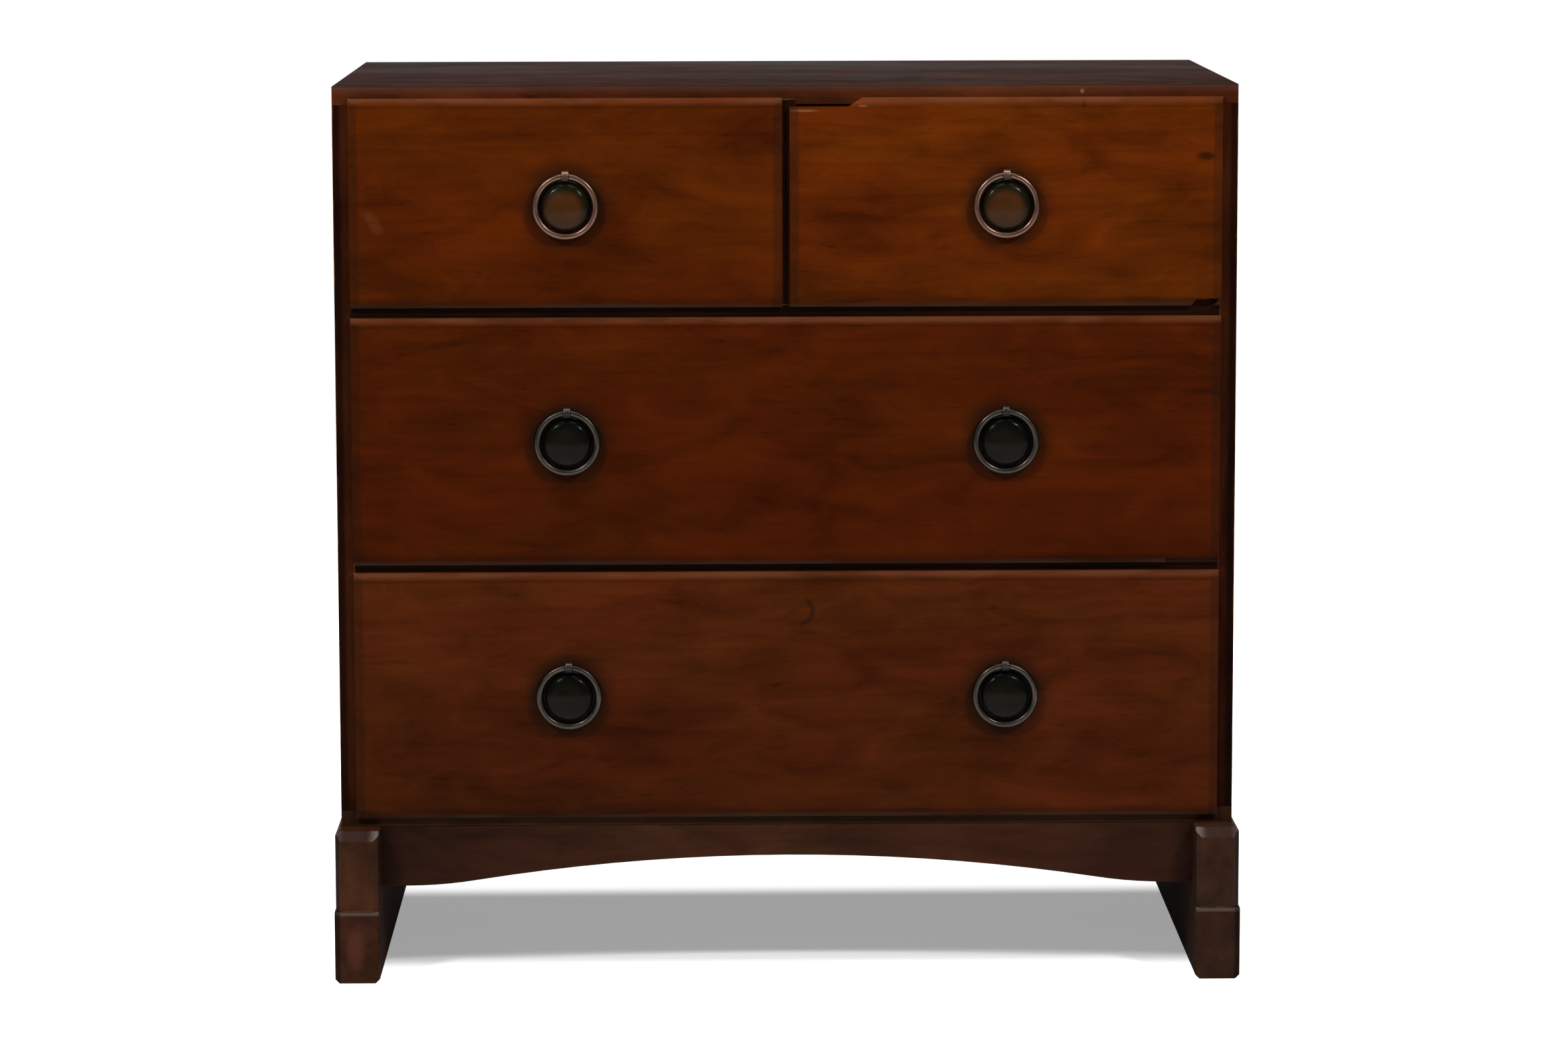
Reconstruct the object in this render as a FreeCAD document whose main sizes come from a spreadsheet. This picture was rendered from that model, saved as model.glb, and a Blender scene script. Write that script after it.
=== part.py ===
# Chest of drawers: two short drawers over two long ones, with ring pulls, on runner feet.
# Millimetres. X is to the right, Y to the back, Z up. The origin is on the floor under the middle.
import FreeCAD, Part
import os
import re

import Sketcher
from FreeCAD import Placement, Rotation, Vector

# How many there are of what repeats
CASE_TAILS = 6
UPPER_DRAWER_TAILS = 3
LOWER_DRAWER_TAILS = 4
BACK_BOARDS = ("back_board_lower", "back_board_middle", "back_board_upper")
SCREWS_PER_SIDE = 4
DOWELS_PER_SIDE = 3
GLUE_BLOCKS_PER_RAIL = 4

# The driving sizes, each a cell of the sheet
SIZES = {
    # Case boards
    "case_width": 800.0,
    "case_depth": 450.0,
    "side_board": 20.0,
    "top_board": 17.0,
    "bottom_board": 14.0,
    "upper_rail_board": 21.0,
    "lower_rail_board": 19.0,
    "rail_depth": 70.0,
    "divider_board": 18.5,
    # Clear heights of the three rows of drawers
    "high_opening": 173.0,
    "middle_opening": 209.0,
    "low_opening": 210.0,
    # Case joints
    "housing": 6.0,
    "divider_housing": 5.0,
    "case_tail_lap": 5.0,
    "case_pin": 14.0,
    "tail_slope": 0.14,
    "runner_width": 30.0,
    "centre_runner_width": 72.0,
    "guide_height": 20.0,
    "guide_gap": 0.5,
    "stub_tenon": 12.0,
    "stub_tenon_board": 8.0,
    "stub_tenon_shoulder": 8.0,
    # Back
    "back_board": 12.0,
    "back_rebate": 10.0,
    "back_top_rebate": 8.0,
    "back_lap": 8.0,
    "back_lap_gap": 0.4,
    "nail_width": 2.6,
    "nail_head_width": 6.0,
    "nail_head_height": 1.0,
    "nail_length": 30.0,
    "nail_edge": 50.0,
    "fastener_gap": 0.05,
    # Base
    "foot_height": 65.0,
    "plinth_height": 72.0,
    "plinth_board": 39.0,
    "foot_step": 1.0,
    "foot_overhang": 4.0,
    "foot_projection": 31.0,
    "plinth_front_bevel": 8.0,
    "plinth_corner_bevel": 5.0,
    "plinth_side_bevel": 3.0,
    "foot_bevel": 4.0,
    "foot_top_bevel": 2.0,
    "apron_board": 20.0,
    "apron_height": 55.0,
    "arch_half_span": 308.0,
    "arch_rise": 26.5,
    "arch_ease": 400.0,
    "base_tenon": 8.0,
    "glue_block": 24.0,
    "glue_block_length": 60.0,
    "glue_block_inset": 110.0,
    "dowel_width": 12.0,
    "dowel_length": 40.0,
    "dowel_inset": 60.0,
    "screw_width": 4.6,
    "screw_head_width": 9.0,
    "screw_head_height": 2.6,
    "screw_length": 46.0,
    "screw_inset": 45.0,
    "screw_sink": 0.4,
    "screw_slot": 1.2,
    # Drawers
    "lip_overlap": 6.0,
    "lip_edge": 5.0,
    "bevel_depth": 3.5,
    "bevel_width": 8.3,
    "lip_gap": 0.3,
    "front_core": 13.0,
    "drawer_side_board": 11.0,
    "drawer_back_board": 11.0,
    "drawer_back_gap": 23.0,
    "drawer_side_gap": 1.0,
    "drawer_top_gap": 2.0,
    "running_gap": 0.3,
    "socket_lap": 3.0,
    "drawer_pin": 9.0,
    "panel_board": 7.0,
    "panel_rise": 10.0,
    "panel_gap": 0.3,
    "groove_depth": 5.0,
    "drawer_back_drop": 6.0,
    # Splinters gone from the lips
    "top_chip_length": 64.0,
    "top_chip_slant": 12.0,
    "end_chip_length": 20.0,
    "end_chip_slant": 5.0,
    "end_chip_inset": 27.0,
    "worn_chip_length": 46.0,
    "worn_chip_inset": 2.0,
    "worn_chip_height": 4.0,
    "worn_chip_depth": 1.6,
    # Ring pulls
    "pull_drop": 2.2,
    "rim_width": 45.0,
    "rim_height": 1.2,
    "dome_width": 43.0,
    "dome_wall": 2.0,
    "dome_shoulder": 7.0,
    "crown_slope": 20.0,
    "stud_width": 5.0,
    "stud_end": 2.0,
    "stud_gap": 0.2,
    "ring_width": 59.0,
    "wire_width": 6.0,
    "ring_standoff": 6.0,
    "eye_width": 7.0,
    "eye_wall": 1.8,
    "eye_gap": 0.5,
    "lug_root_inset": 4.0,
    "nut_width": 12.0,
    "nut_height": 4.0,
}

# Places worked out from the sizes, as formulas in the same sheet
PLACES = {
    "front_y": "-(case_depth + foot_projection + foot_step) / 2",
    "plinth_y": "front_y + foot_step",
    "case_y": "plinth_y + foot_projection",
    "rail_back_y": "case_y + rail_depth",
    "back_y": "case_y + case_depth",
    "back_inner_y": "back_y - back_board",
    "case_z": "foot_height + plinth_height",
    "low_z": "case_z + bottom_board",
    "lower_rail_z": "low_z + low_opening",
    "middle_z": "lower_rail_z + lower_rail_board",
    "upper_rail_z": "middle_z + middle_opening",
    "high_z": "upper_rail_z + upper_rail_board",
    "top_z": "high_z + high_opening",
    "back_top_z": "top_z + back_top_rebate",
    "back_board_width": "(back_top_z - case_z) / %d" % len(BACK_BOARDS),
    "case_half": "case_width / 2",
    "inner_half": "case_half - side_board",
    "inner_depth": "back_inner_y - case_y",
    "runner_depth": "back_inner_y - rail_back_y",
    "short_opening": "inner_half - divider_board / 2",
    "short_middle_x": "(inner_half + divider_board / 2) / 2",
    "foot_half": "case_half + foot_overhang + foot_step",
    "plinth_half": "case_half + foot_overhang",
    "plinth_inner": "plinth_half - plinth_board",
    "plinth_length": "foot_projection + case_depth",
    "apron_z": "case_z - apron_height",
    "apron_length": "2 * (plinth_inner + base_tenon)",
    "apron_ledge": "apron_length / 2 - arch_half_span",
    "arch_radius": "(arch_half_span ^ 2 + arch_rise ^ 2) / (2 * arch_rise)",
    "base_screw_x": "(inner_half + plinth_inner) / 2",
    "dowel_x": "plinth_half - plinth_board / 2",
    "nail_x": "inner_half + back_rebate / 2",
    "lip_thickness": "lip_edge + bevel_depth",
    "lip_back_y": "case_y - lip_gap",
    "lip_face_y": "lip_back_y - lip_thickness",
    "core_back_y": "case_y + front_core",
    "drawer_back_y": "back_inner_y - drawer_back_gap",
    "drawer_back_front_y": "drawer_back_y - drawer_back_board",
    "front_tail": "front_core - socket_lap",
    "groove_height": "panel_board + panel_gap",
    "ring_radius": "(ring_width - wire_width) / 2",
    "stud_length": "lip_thickness + lip_gap + front_core + nut_height + stud_end",
    "stud_hole": "stud_width / 2 + stud_gap",
    "eye_hole": "wire_width / 2 + eye_gap",
    "eye_radius": "eye_hole + eye_wall",
    "crown_radius": "(dome_width / 2 - dome_shoulder) / sin(crown_slope) + dome_shoulder",
    "crown_edge": "crown_radius * sin(crown_slope)",
    "crown_height": "crown_radius * (1 - cos(crown_slope))",
    "shoulder_height": "dome_shoulder * cos(crown_slope)",
}

document = FreeCAD.newDocument("ChestOfDrawers")
sheet = document.addObject("Spreadsheet::Sheet", "Sizes")
for row, (alias, value) in enumerate({**SIZES, **PLACES}.items(), start=1):
    sheet.set("A%d" % row, alias)
    sheet.set("B%d" % row, "=" + value if alias in PLACES else str(value))
    sheet.setAlias("B%d" % row, alias)
document.recompute()

ALIAS = re.compile(r"\b(?:%s)\b" % "|".join([*SIZES, *PLACES]))
pieces = []


def linked(text):
    """An expression with each size in it pointing at its cell."""
    return ALIAS.sub(lambda found: "Sizes." + found.group(), text)


def size(text):
    """The number that an expression of sizes gives."""
    return float(sheet.evalExpression(linked(text)))


def bind(thing, **expressions):
    for name, text in expressions.items():
        thing.setExpression(name, linked(text))


def place(thing, corner):
    for axis, text in zip("xyz", corner):
        thing.setExpression("Placement.Base." + axis, linked(text))


def piece(label, thing):
    """Names a finished sub-part; its label is also its file's name."""
    thing.Label = label
    pieces.append(thing)


def box(name, low, extent):
    block = document.addObject("Part::Box", name)
    bind(block, Length=extent[0], Width=extent[1], Height=extent[2])
    place(block, low)
    return block


TURNS = {
    "x": Rotation(Vector(0, 1, 0), 90),
    "y": Rotation(Vector(1, 0, 0), -90),
    "z": Rotation(),
}


def rod(name, start, radius, length, axis):
    """A round bar that runs from start along +X, +Y or +Z."""
    bar = document.addObject("Part::Cylinder", name)
    bar.Placement = Placement(Vector(), TURNS[axis])
    bind(bar, Radius=radius, Height=length)
    place(bar, start)
    return bar


def fuse(name, parts):
    joined = document.addObject("Part::MultiFuse", name)
    joined.Shapes = parts
    joined.Refine = True
    return joined


def group(name, parts):
    together = document.addObject("Part::Compound", name)
    together.Links = parts
    return together


def cut(name, base, tools):
    rest = document.addObject("Part::Cut", name)
    rest.Base = base
    rest.Tool = tools[0] if len(tools) == 1 else fuse(name + "_tools", tools)
    rest.Refine = True
    return rest


# Directions in which a dovetail can point, as turns about X of a tail that points along +Y
BACK, UP, FRONT, DOWN = 0, 90, 180, -90


def wedge(name, direction, corner, near, far, length, across):
    """A block with two straight ends: near and far are its X limits there, across its other limits."""
    block = document.addObject("Part::Wedge", name)
    block.Placement = Placement(Vector(), Rotation(Vector(1, 0, 0), direction))
    bind(block, Ymin="0", Ymax=length, Xmin=near[0], Xmax=near[1], X2min=far[0], X2max=far[1])
    bind(block, Zmin=across[0], Zmax=across[1], Z2min=across[2], Z2max=across[3])
    place(block, corner)
    return block


def tails(name, direction, count, root, run, thickness, length, pin):
    """A row of dovetails; run is the axis and the length that they are spread over from the root."""
    axis, span = run
    wide = "(%s) / %s - %s" % (span, count, pin)
    narrow_half = "((%s) / 2 - (%s) * tail_slope)" % (wide, length)
    wide_half = "((%s) / 2)" % wide
    across = ("-" + narrow_half, narrow_half, "-" + wide_half, wide_half)
    made = []
    for number in range(count):
        middle = list(root)
        middle[axis] = "%s + (%s) * %s / %s" % (root[axis], span, number + 0.5, count)
        ends = ("0", thickness)
        made.append(wedge("%s_tail_%d" % (name, number + 1), direction, middle, ends, ends, length, across))
    return made


def new_body(name, corner, rotation=Rotation()):
    body = document.addObject("PartDesign::Body", name)
    body.Placement = Placement(Vector(), rotation)
    place(body, corner)
    return body


def outline(body, name, role, points, radii=None):
    """A closed sketch through points; radii bends the edge after a point to the right of its way."""
    plane = next(plane for plane in body.Origin.OriginFeatures if plane.Role == role)
    sketch = body.newObject("Sketcher::SketchObject", name)
    sketch.AttachmentSupport = (plane, [""])
    sketch.MapMode = "FlatFace"
    radii = radii or {}
    spots = [Vector(size(across), size(up), 0) for across, up in points]
    for number, start in enumerate(spots):
        end = spots[(number + 1) % len(spots)]
        if number in radii:
            sketch.addGeometry(bent_edge(start, end, size(radii[number])))
        else:
            sketch.addGeometry(Part.LineSegment(start, end))
    for number in range(len(spots)):
        sketch.addConstraint(Sketcher.Constraint("Coincident", (number - 1) % len(spots), 2, number, 1))
    for number, (across, up) in enumerate(points):
        for kind, text in (("DistanceX", across), ("DistanceY", up)):
            fix(sketch, text, kind, -1, 1, number, 1)
    for number, text in radii.items():
        fix(sketch, text, "Radius", number)
    return sketch


def fix(sketch, text, kind, *where):
    """Adds a dimension to a sketch and ties it to an expression of sizes."""
    number = sketch.addConstraint(Sketcher.Constraint(kind, *where, size(text)))
    sketch.setExpression("Constraints[%d]" % number, linked(text))


def bent_edge(start, end, radius):
    chord = end - start
    right = Vector(chord.y, -chord.x, 0).normalize()
    sag = radius - (radius ** 2 - (chord.Length / 2) ** 2) ** 0.5
    return Part.Arc(start, (start + end) / 2 + right * sag, end)


def pad(body, sketch, name, length, back=False):
    """Thickens a sketch along its normal, or the other way with back."""
    made = body.newObject("PartDesign::Pad", name)
    made.Profile = sketch
    made.Reversed = back
    bind(made, Length=length)
    return made


def bevel(body, name, chosen, width):
    """Chamfers those edges of the body's tip that the test picks out."""
    work_edges(body, "PartDesign::Chamfer", name, chosen, Size=width)


def ease(body, name, chosen, radius):
    """Rounds those edges of the body's tip that the test picks out."""
    work_edges(body, "PartDesign::Fillet", name, chosen, Radius=radius)


def work_edges(body, kind, name, chosen, **sizes):
    document.recompute()
    tip = body.Tip
    names = ["Edge%d" % number for number, edge in enumerate(tip.Shape.Edges, start=1) if chosen(edge)]
    made = body.newObject(kind, name)
    made.Base = (tip, names)
    bind(made, **sizes)


def runs_along(axis, **at):
    """A test for the edges along an axis at given places of the other axes, in the body's frame."""
    def chosen(edge):
        way = edge.tangentAt(edge.FirstParameter)
        near = all(abs(getattr(edge.CenterOfMass, name) - size(text)) < 0.01 for name, text in at.items())
        return near and abs(getattr(way, axis)) > 0.999
    return chosen


# The fasteners of the fixed part, and the holes they fill


def back_nails():
    """Two nails at each end of each back board, with their heads flush."""
    made, holes = [], []
    for number, label in enumerate(BACK_BOARDS):
        low = "case_z + %d * back_board_width + nail_edge" % number
        high = "case_z + %d * back_board_width - nail_edge" % (number + 1)
        for end, x in (("left", "-nail_x"), ("right", "nail_x")):
            for spot, z in (("low", low), ("high", high)):
                name = "%s_nail_%s_%s" % (label, end, spot)
                tip = [x, "back_y - nail_length", z]
                head = [x, "back_y - nail_head_height", z]
                made.append(fuse(name, [
                    rod(name + "_shank", tip, "nail_width / 2", "nail_length", "y"),
                    rod(name + "_head", head, "nail_head_width / 2", "nail_head_height", "y")]))
                end_of_hole = [x, "back_y - nail_length - fastener_gap", z]
                holes.append(fuse(name + "_hole", [
                    rod(name + "_bore", end_of_hole, "nail_width / 2 + fastener_gap",
                        "nail_length + fastener_gap", "y"),
                    rod(name + "_sink", head, "nail_head_width / 2 + fastener_gap",
                        "nail_head_height", "y")]))
    piece("back_nails", group("back_nails", made))
    return group("nail_holes", holes)


def base_screws():
    """Slotted screws, sunk into the bottom board, that hold the case to the plinths."""
    made, holes = [], []
    for end, x in (("left", "-base_screw_x"), ("right", "base_screw_x")):
        for number in range(SCREWS_PER_SIDE):
            name = "base_screw_%s_%d" % (end, number + 1)
            y = "case_y + screw_inset + (inner_depth - 2 * screw_inset) * %d / %d" % (
                number, SCREWS_PER_SIDE - 1)
            tip_z = "low_z - screw_sink - screw_length"
            head_z = "low_z - screw_sink - screw_head_height"
            shank = rod(name + "_shank", [x, y, tip_z], "screw_width / 2",
                        "screw_length - screw_head_height", "z")
            blank = fuse(name + "_blank", [shank, screw_head(name + "_head", [x, y, head_z], "0")])
            slot = box(name + "_slot", [x + " - screw_head_width / 2", y + " - screw_slot / 2",
                                        "low_z - screw_sink - screw_slot"],
                       ["screw_head_width", "screw_slot", "screw_slot"])
            made.append(cut(name, blank, [slot]))
            holes.append(fuse(name + "_hole", [
                rod(name + "_bore", [x, y, tip_z + " - fastener_gap"], "screw_width / 2 + fastener_gap",
                    "screw_length + fastener_gap", "z"),
                screw_head(name + "_seat", [x, y, head_z], "fastener_gap"),
                rod(name + "_mouth", [x, y, "low_z - screw_sink"],
                    "screw_head_width / 2 + fastener_gap", "screw_sink", "z")]))
    piece("base_screws", group("base_screws", made))
    return group("screw_holes", holes)


def screw_head(name, start, gap):
    """A countersunk head that widens upwards, larger by a gap all round."""
    head = document.addObject("Part::Cone", name)
    bind(head, Radius1="screw_width / 2 + " + gap, Radius2="screw_head_width / 2 + " + gap)
    bind(head, Height="screw_head_height")
    place(head, start)
    return head


def foot_dowels():
    """Dowels between each foot and the plinth above it."""
    made, holes = [], []
    for end, x in (("left", "-dowel_x"), ("right", "dowel_x")):
        for number in range(DOWELS_PER_SIDE):
            name = "foot_dowel_%s_%d" % (end, number + 1)
            y = "plinth_y + dowel_inset + (plinth_length - 2 * dowel_inset) * %d / %d" % (
                number, DOWELS_PER_SIDE - 1)
            z = "foot_height - dowel_length / 2"
            made.append(rod(name, [x, y, z], "dowel_width / 2", "dowel_length", "z"))
            holes.append(rod(name + "_hole", [x, y, z + " - fastener_gap"],
                             "dowel_width / 2 + fastener_gap", "dowel_length + 2 * fastener_gap", "z"))
    piece("foot_dowels", group("foot_dowels", made))
    return group("dowel_holes", holes)


# The carcass


def make_sides():
    """The two side boards, with dovetails up into the top board and down into the bottom board."""
    top_tails, bottom_tails = [], []
    for end, left_x, housing_x, rebate_x in (
            ("left", "-case_half", "-inner_half - housing", "-inner_half - back_rebate"),
            ("right", "inner_half", "inner_half", "inner_half")):
        name = "side_" + end
        run = (1, "inner_depth")
        above = tails(name + "_top", UP, CASE_TAILS, [left_x, "case_y", "top_z"], run,
                      "side_board", "top_board - case_tail_lap", "case_pin")
        below = tails(name + "_bottom", DOWN, CASE_TAILS, [left_x, "case_y", "low_z"], run,
                      "side_board", "bottom_board - case_tail_lap", "case_pin")
        board = box(name + "_board", [left_x, "case_y", "low_z"],
                    ["side_board", "case_depth", "top_z - low_z"])
        heel = box(name + "_heel", [left_x, "back_inner_y", "case_z"],
                   ["side_board", "back_board", "bottom_board"])
        grooves = [
            box("%s_%s_housing" % (name, rail), [housing_x, "case_y", rail + "_rail_z"],
                ["housing", "inner_depth", rail + "_rail_board"])
            for rail in ("lower", "upper")]
        rebate = box(name + "_rebate", [rebate_x, "back_inner_y", "case_z"],
                     ["back_rebate", "back_board", "top_z - case_z"])
        tailed = fuse(name + "_tailed", [board, heel, *above, *below])
        housed = cut(name + "_housed", tailed, [*grooves, rebate])
        piece(name, cut(name, housed, [nail_holes]))
        top_tails += above
        bottom_tails += below
    return top_tails, bottom_tails


def make_top_and_bottom():
    top = box("top_board_blank", ["-case_half", "case_y", "top_z"],
              ["case_width", "case_depth", "top_board"])
    rebate = box("top_board_rebate", ["-inner_half - back_rebate", "back_inner_y", "top_z"],
                 ["2 * (inner_half + back_rebate)", "back_board", "back_top_rebate"])
    slot = box("top_board_slot", ["-divider_board / 2", "case_y", "top_z"],
               ["divider_board", "rail_depth", "divider_housing"])
    piece("top_board", cut("top_board", top, [*top_tails, rebate, slot]))

    bottom = box("bottom_board_blank", ["-case_half", "case_y", "case_z"],
                 ["case_width", "inner_depth", "bottom_board"])
    socketed = cut("bottom_board_socketed", bottom, bottom_tails)
    piece("bottom_board", cut("bottom_board", socketed, [screw_holes]))


def make_rails_and_runners():
    rail_x = "-inner_half - housing"
    tenon = box("centre_runner_tenon",
                ["-centre_runner_width / 2 + stub_tenon_shoulder", "rail_back_y - stub_tenon",
                 "upper_rail_z + (upper_rail_board - stub_tenon_board) / 2"],
                ["centre_runner_width - 2 * stub_tenon_shoulder", "stub_tenon", "stub_tenon_board"])
    for rail in ("lower", "upper"):
        level, board = rail + "_rail_z", rail + "_rail_board"
        front = box(rail + "_rail_board", [rail_x, "case_y", level],
                    ["2 * (inner_half + housing)", "rail_depth", board])
        if rail == "upper":
            slot = box("upper_rail_slot", ["-divider_board / 2", "case_y", "high_z - divider_housing"],
                       ["divider_board", "rail_depth", "divider_housing"])
            front = cut("upper_rail", front, [slot, tenon])
        piece(rail + "_rail", front)
        for end, x in (("left", rail_x), ("right", "inner_half - runner_width")):
            label = "%s_runner_%s" % (rail, end)
            runner = box(label + "_board", [x, "rail_back_y", level],
                         ["runner_width + housing", "runner_depth", board])
            piece(label, cut(label, runner, [nail_holes]))

    runner = box("upper_runner_centre_board", ["-centre_runner_width / 2", "rail_back_y", "upper_rail_z"],
                 ["centre_runner_width", "runner_depth", "upper_rail_board"])
    piece("upper_runner_centre", fuse("upper_runner_centre", [runner, tenon]))
    piece("centre_guide", box("centre_guide", ["-divider_board / 2 + guide_gap", "rail_back_y", "high_z"],
                              ["divider_board - 2 * guide_gap", "runner_depth", "guide_height"]))
    piece("drawer_divider", box("drawer_divider",
                                ["-divider_board / 2", "case_y", "high_z - divider_housing"],
                                ["divider_board", "rail_depth", "high_opening + 2 * divider_housing"]))


def make_back():
    """Boards across the back, each lapped over the tongue of the one below."""
    x = "-inner_half - back_rebate"
    width = "2 * (inner_half + back_rebate)"
    for number, label in enumerate(BACK_BOARDS):
        low = "case_z + %d * back_board_width" % number
        board = box(label + "_board", [x, "back_inner_y", low], [width, "back_board", "back_board_width"])
        if label != BACK_BOARDS[-1]:
            tongue = box(label + "_tongue", [x, "back_inner_y", low + " + back_board_width"],
                         [width, "back_board / 2 - back_lap_gap", "back_lap - back_lap_gap"])
            board = fuse(label + "_tongued", [board, tongue])
        if number:
            lap = box(label + "_lap", [x, "back_inner_y", low], [width, "back_board / 2", "back_lap"])
            board = cut(label + "_lapped", board, [lap])
        piece(label, cut(label, board, [nail_holes]))


# The base


def make_plinth(end, x, outer_x, mortise_x):
    """The block under one side of the case: it stands out in front, and its front edges are bevelled."""
    name = "plinth_" + end
    body = new_body(name + "_body", [x, "plinth_y", "foot_height"])
    plan = [("plinth_corner_bevel", "0"), ("plinth_board - plinth_corner_bevel", "0"),
            ("plinth_board", "plinth_corner_bevel"), ("plinth_board", "plinth_length"),
            ("0", "plinth_length"), ("0", "plinth_corner_bevel")]
    block = pad(body, outline(body, name + "_plan", "XY_Plane", plan), name + "_block", "plinth_height")
    document.recompute()
    bite = [("0", "plinth_height - plinth_front_bevel"), ("plinth_front_bevel", "plinth_height"),
            ("0", "plinth_height")]
    front = body.newObject("PartDesign::Pocket", name + "_front_bevel")
    front.Profile = outline(body, name + "_bite", "YZ_Plane", bite)
    front.Type = "ThroughAll"
    front.Reversed = True
    document.recompute()
    if front.Shape.Volume >= block.Shape.Volume:
        raise RuntimeError(name + " has lost its front bevel")
    bevel(body, name + "_side_bevel", runs_along("y", x=outer_x, z="plinth_height"), "plinth_side_bevel")
    mortises = [
        box("%s_%s_mortise" % (name, rail), [mortise_x, y, "apron_z"],
            ["base_tenon", "apron_board", "apron_height"])
        for rail, y in (("front", "case_y"), ("back", "back_y - apron_board"))]
    screwed = cut(name + "_screwed", body, [screw_holes])
    doweled = cut(name + "_doweled", screwed, [dowel_holes])
    piece(name, cut(name, doweled, mortises))


def make_foot(end, x):
    """The runner under one plinth block, a little wider, with its lower edges and front ledge bevelled."""
    name = "foot_" + end
    width = "plinth_board + foot_step"
    body = new_body(name + "_body", [x, "front_y", "0"])
    section = [("foot_bevel", "0"), (width + " - foot_bevel", "0"), (width, "foot_bevel"),
               (width, "foot_height"), ("0", "foot_height"), ("0", "foot_bevel")]
    pad(body, outline(body, name + "_section", "XZ_Plane", section), name + "_runner",
        "plinth_length + foot_step", back=True)
    bevel(body, name + "_top_bevel", runs_along("x", y="0", z="foot_height"), "foot_top_bevel")
    piece(name, cut(name, body, [dowel_holes]))


def make_apron_and_rail():
    """The arched board between the plinths at the front, the plain one at the back, and glue blocks."""
    start_x = "-apron_length / 2"
    body = new_body("apron_body", [start_x, "case_y", "apron_z"])
    face = [("0", "0"), ("0", "apron_height"), ("apron_length", "apron_height"), ("apron_length", "0"),
            ("apron_length - apron_ledge", "0"), ("apron_ledge", "0")]
    pad(body, outline(body, "apron_face", "XZ_Plane", face, {4: "arch_radius"}), "apron_pad",
        "apron_board", back=True)
    for end, x in (("left", "apron_ledge"), ("right", "apron_length - apron_ledge")):
        ease(body, "apron_ease_" + end, runs_along("y", x=x, z="0"), "arch_ease")
    piece("apron", body)
    piece("base_back_rail", box("base_back_rail", [start_x, "back_y - apron_board", "apron_z"],
                                ["apron_length", "apron_board", "apron_height"]))

    blocks = []
    for rail, y in (("front", "case_y + apron_board"), ("back", "back_y - apron_board - glue_block")):
        for number in range(GLUE_BLOCKS_PER_RAIL):
            x = "(glue_block_inset - plinth_inner) * %s - glue_block_length / 2" % (
                1 - 2 * number / (GLUE_BLOCKS_PER_RAIL - 1))
            blocks.append(box("glue_block_%s_%d" % (rail, number + 1), [x, y, "case_z - glue_block"],
                              ["glue_block_length", "glue_block", "glue_block"]))
    piece("glue_blocks", group("glue_blocks", blocks))


# The drawers


def make_drawer(label, opening, tail_count, pulls, chips=()):
    """A dovetailed drawer for an opening; pulls holds each pull's name, X and Z."""
    x, width, z, height = opening
    box_x = x + " + drawer_side_gap"
    box_z = z + " + running_gap"
    box_width = width + " - 2 * drawer_side_gap"
    box_height = height + " - running_gap - drawer_top_gap"
    inner_x = box_x + " + drawer_side_board"
    inner_width = box_width + " - 2 * drawer_side_board"
    right_x = inner_x + " + " + inner_width
    groove_z = box_z + " + panel_rise"
    back_z = groove_z + " + panel_board"
    back_height = box_height + " - panel_rise - panel_board - drawer_back_drop"

    front_tails, back_tails = [], []
    for end, side_x, groove_x in (("left", box_x, inner_x + " - groove_depth"), ("right", right_x, right_x)):
        name = "%s_side_%s" % (label, end)
        front_row = tails(name + "_front", FRONT, tail_count, [side_x, "core_back_y", box_z],
                          (2, box_height), "drawer_side_board", "front_tail", "drawer_pin")
        back_row = tails(name + "_back", BACK, tail_count, [side_x, "drawer_back_front_y", back_z],
                         (2, back_height), "drawer_side_board", "drawer_back_board", "drawer_pin")
        board = box(name + "_board", [side_x, "core_back_y", box_z],
                    ["drawer_side_board", "drawer_back_y - core_back_y", box_height])
        end_cut = box(name + "_end_cut", [side_x, "drawer_back_front_y", back_z],
                      ["drawer_side_board", "drawer_back_board", back_height])
        groove = box(name + "_groove", [groove_x, "case_y", groove_z],
                     ["groove_depth", "drawer_back_y - case_y", "groove_height"])
        notched = cut(name + "_notched", board, [end_cut])
        tailed = fuse(name + "_tailed", [notched, *front_row, *back_row])
        piece(name, cut(name, tailed, [groove]))
        front_tails += front_row
        back_tails += back_row

    core = [box_x, box_width, box_z, box_height]
    groove = box(label + "_front_groove",
                 [inner_x + " - groove_depth", "core_back_y - groove_depth", groove_z],
                 [inner_width + " + 2 * groove_depth", "groove_depth", "groove_height"])
    holes = [
        rod("%s_hole" % pull, [pull_x, "lip_face_y", pull_z], "stud_hole",
            "lip_thickness + lip_gap + front_core", "y")
        for pull, pull_x, pull_z in pulls]
    front = cut(label + "_front_socketed", lipped_front(label, opening, core), [*front_tails, groove, *holes])
    for number, splinter in enumerate(chips, start=1):
        front = cut("%s_front_chipped_%d" % (label, number), front, [splinter])
    piece(label + "_front", front)

    back = box(label + "_back_board", [box_x, "drawer_back_front_y", back_z],
               [box_width, "drawer_back_board", back_height])
    piece(label + "_back", cut(label + "_back", back, back_tails))
    panel_y = "core_back_y - groove_depth + panel_gap"
    piece(label + "_bottom", box(label + "_bottom",
                                 [inner_x + " - groove_depth + panel_gap", panel_y, groove_z],
                                 [inner_width + " + 2 * (groove_depth - panel_gap)",
                                  "drawer_back_y - (%s)" % panel_y, "panel_board"]))

    piece(label + "_pulls", group(label + "_pulls", [pull_boss(*pull) for pull in pulls]))
    piece(label + "_nuts", group(label + "_nuts", [pull_nut(*pull) for pull in pulls]))
    for pull in pulls:
        piece(pull[0] + "_ring", pull_ring(*pull))


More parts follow.
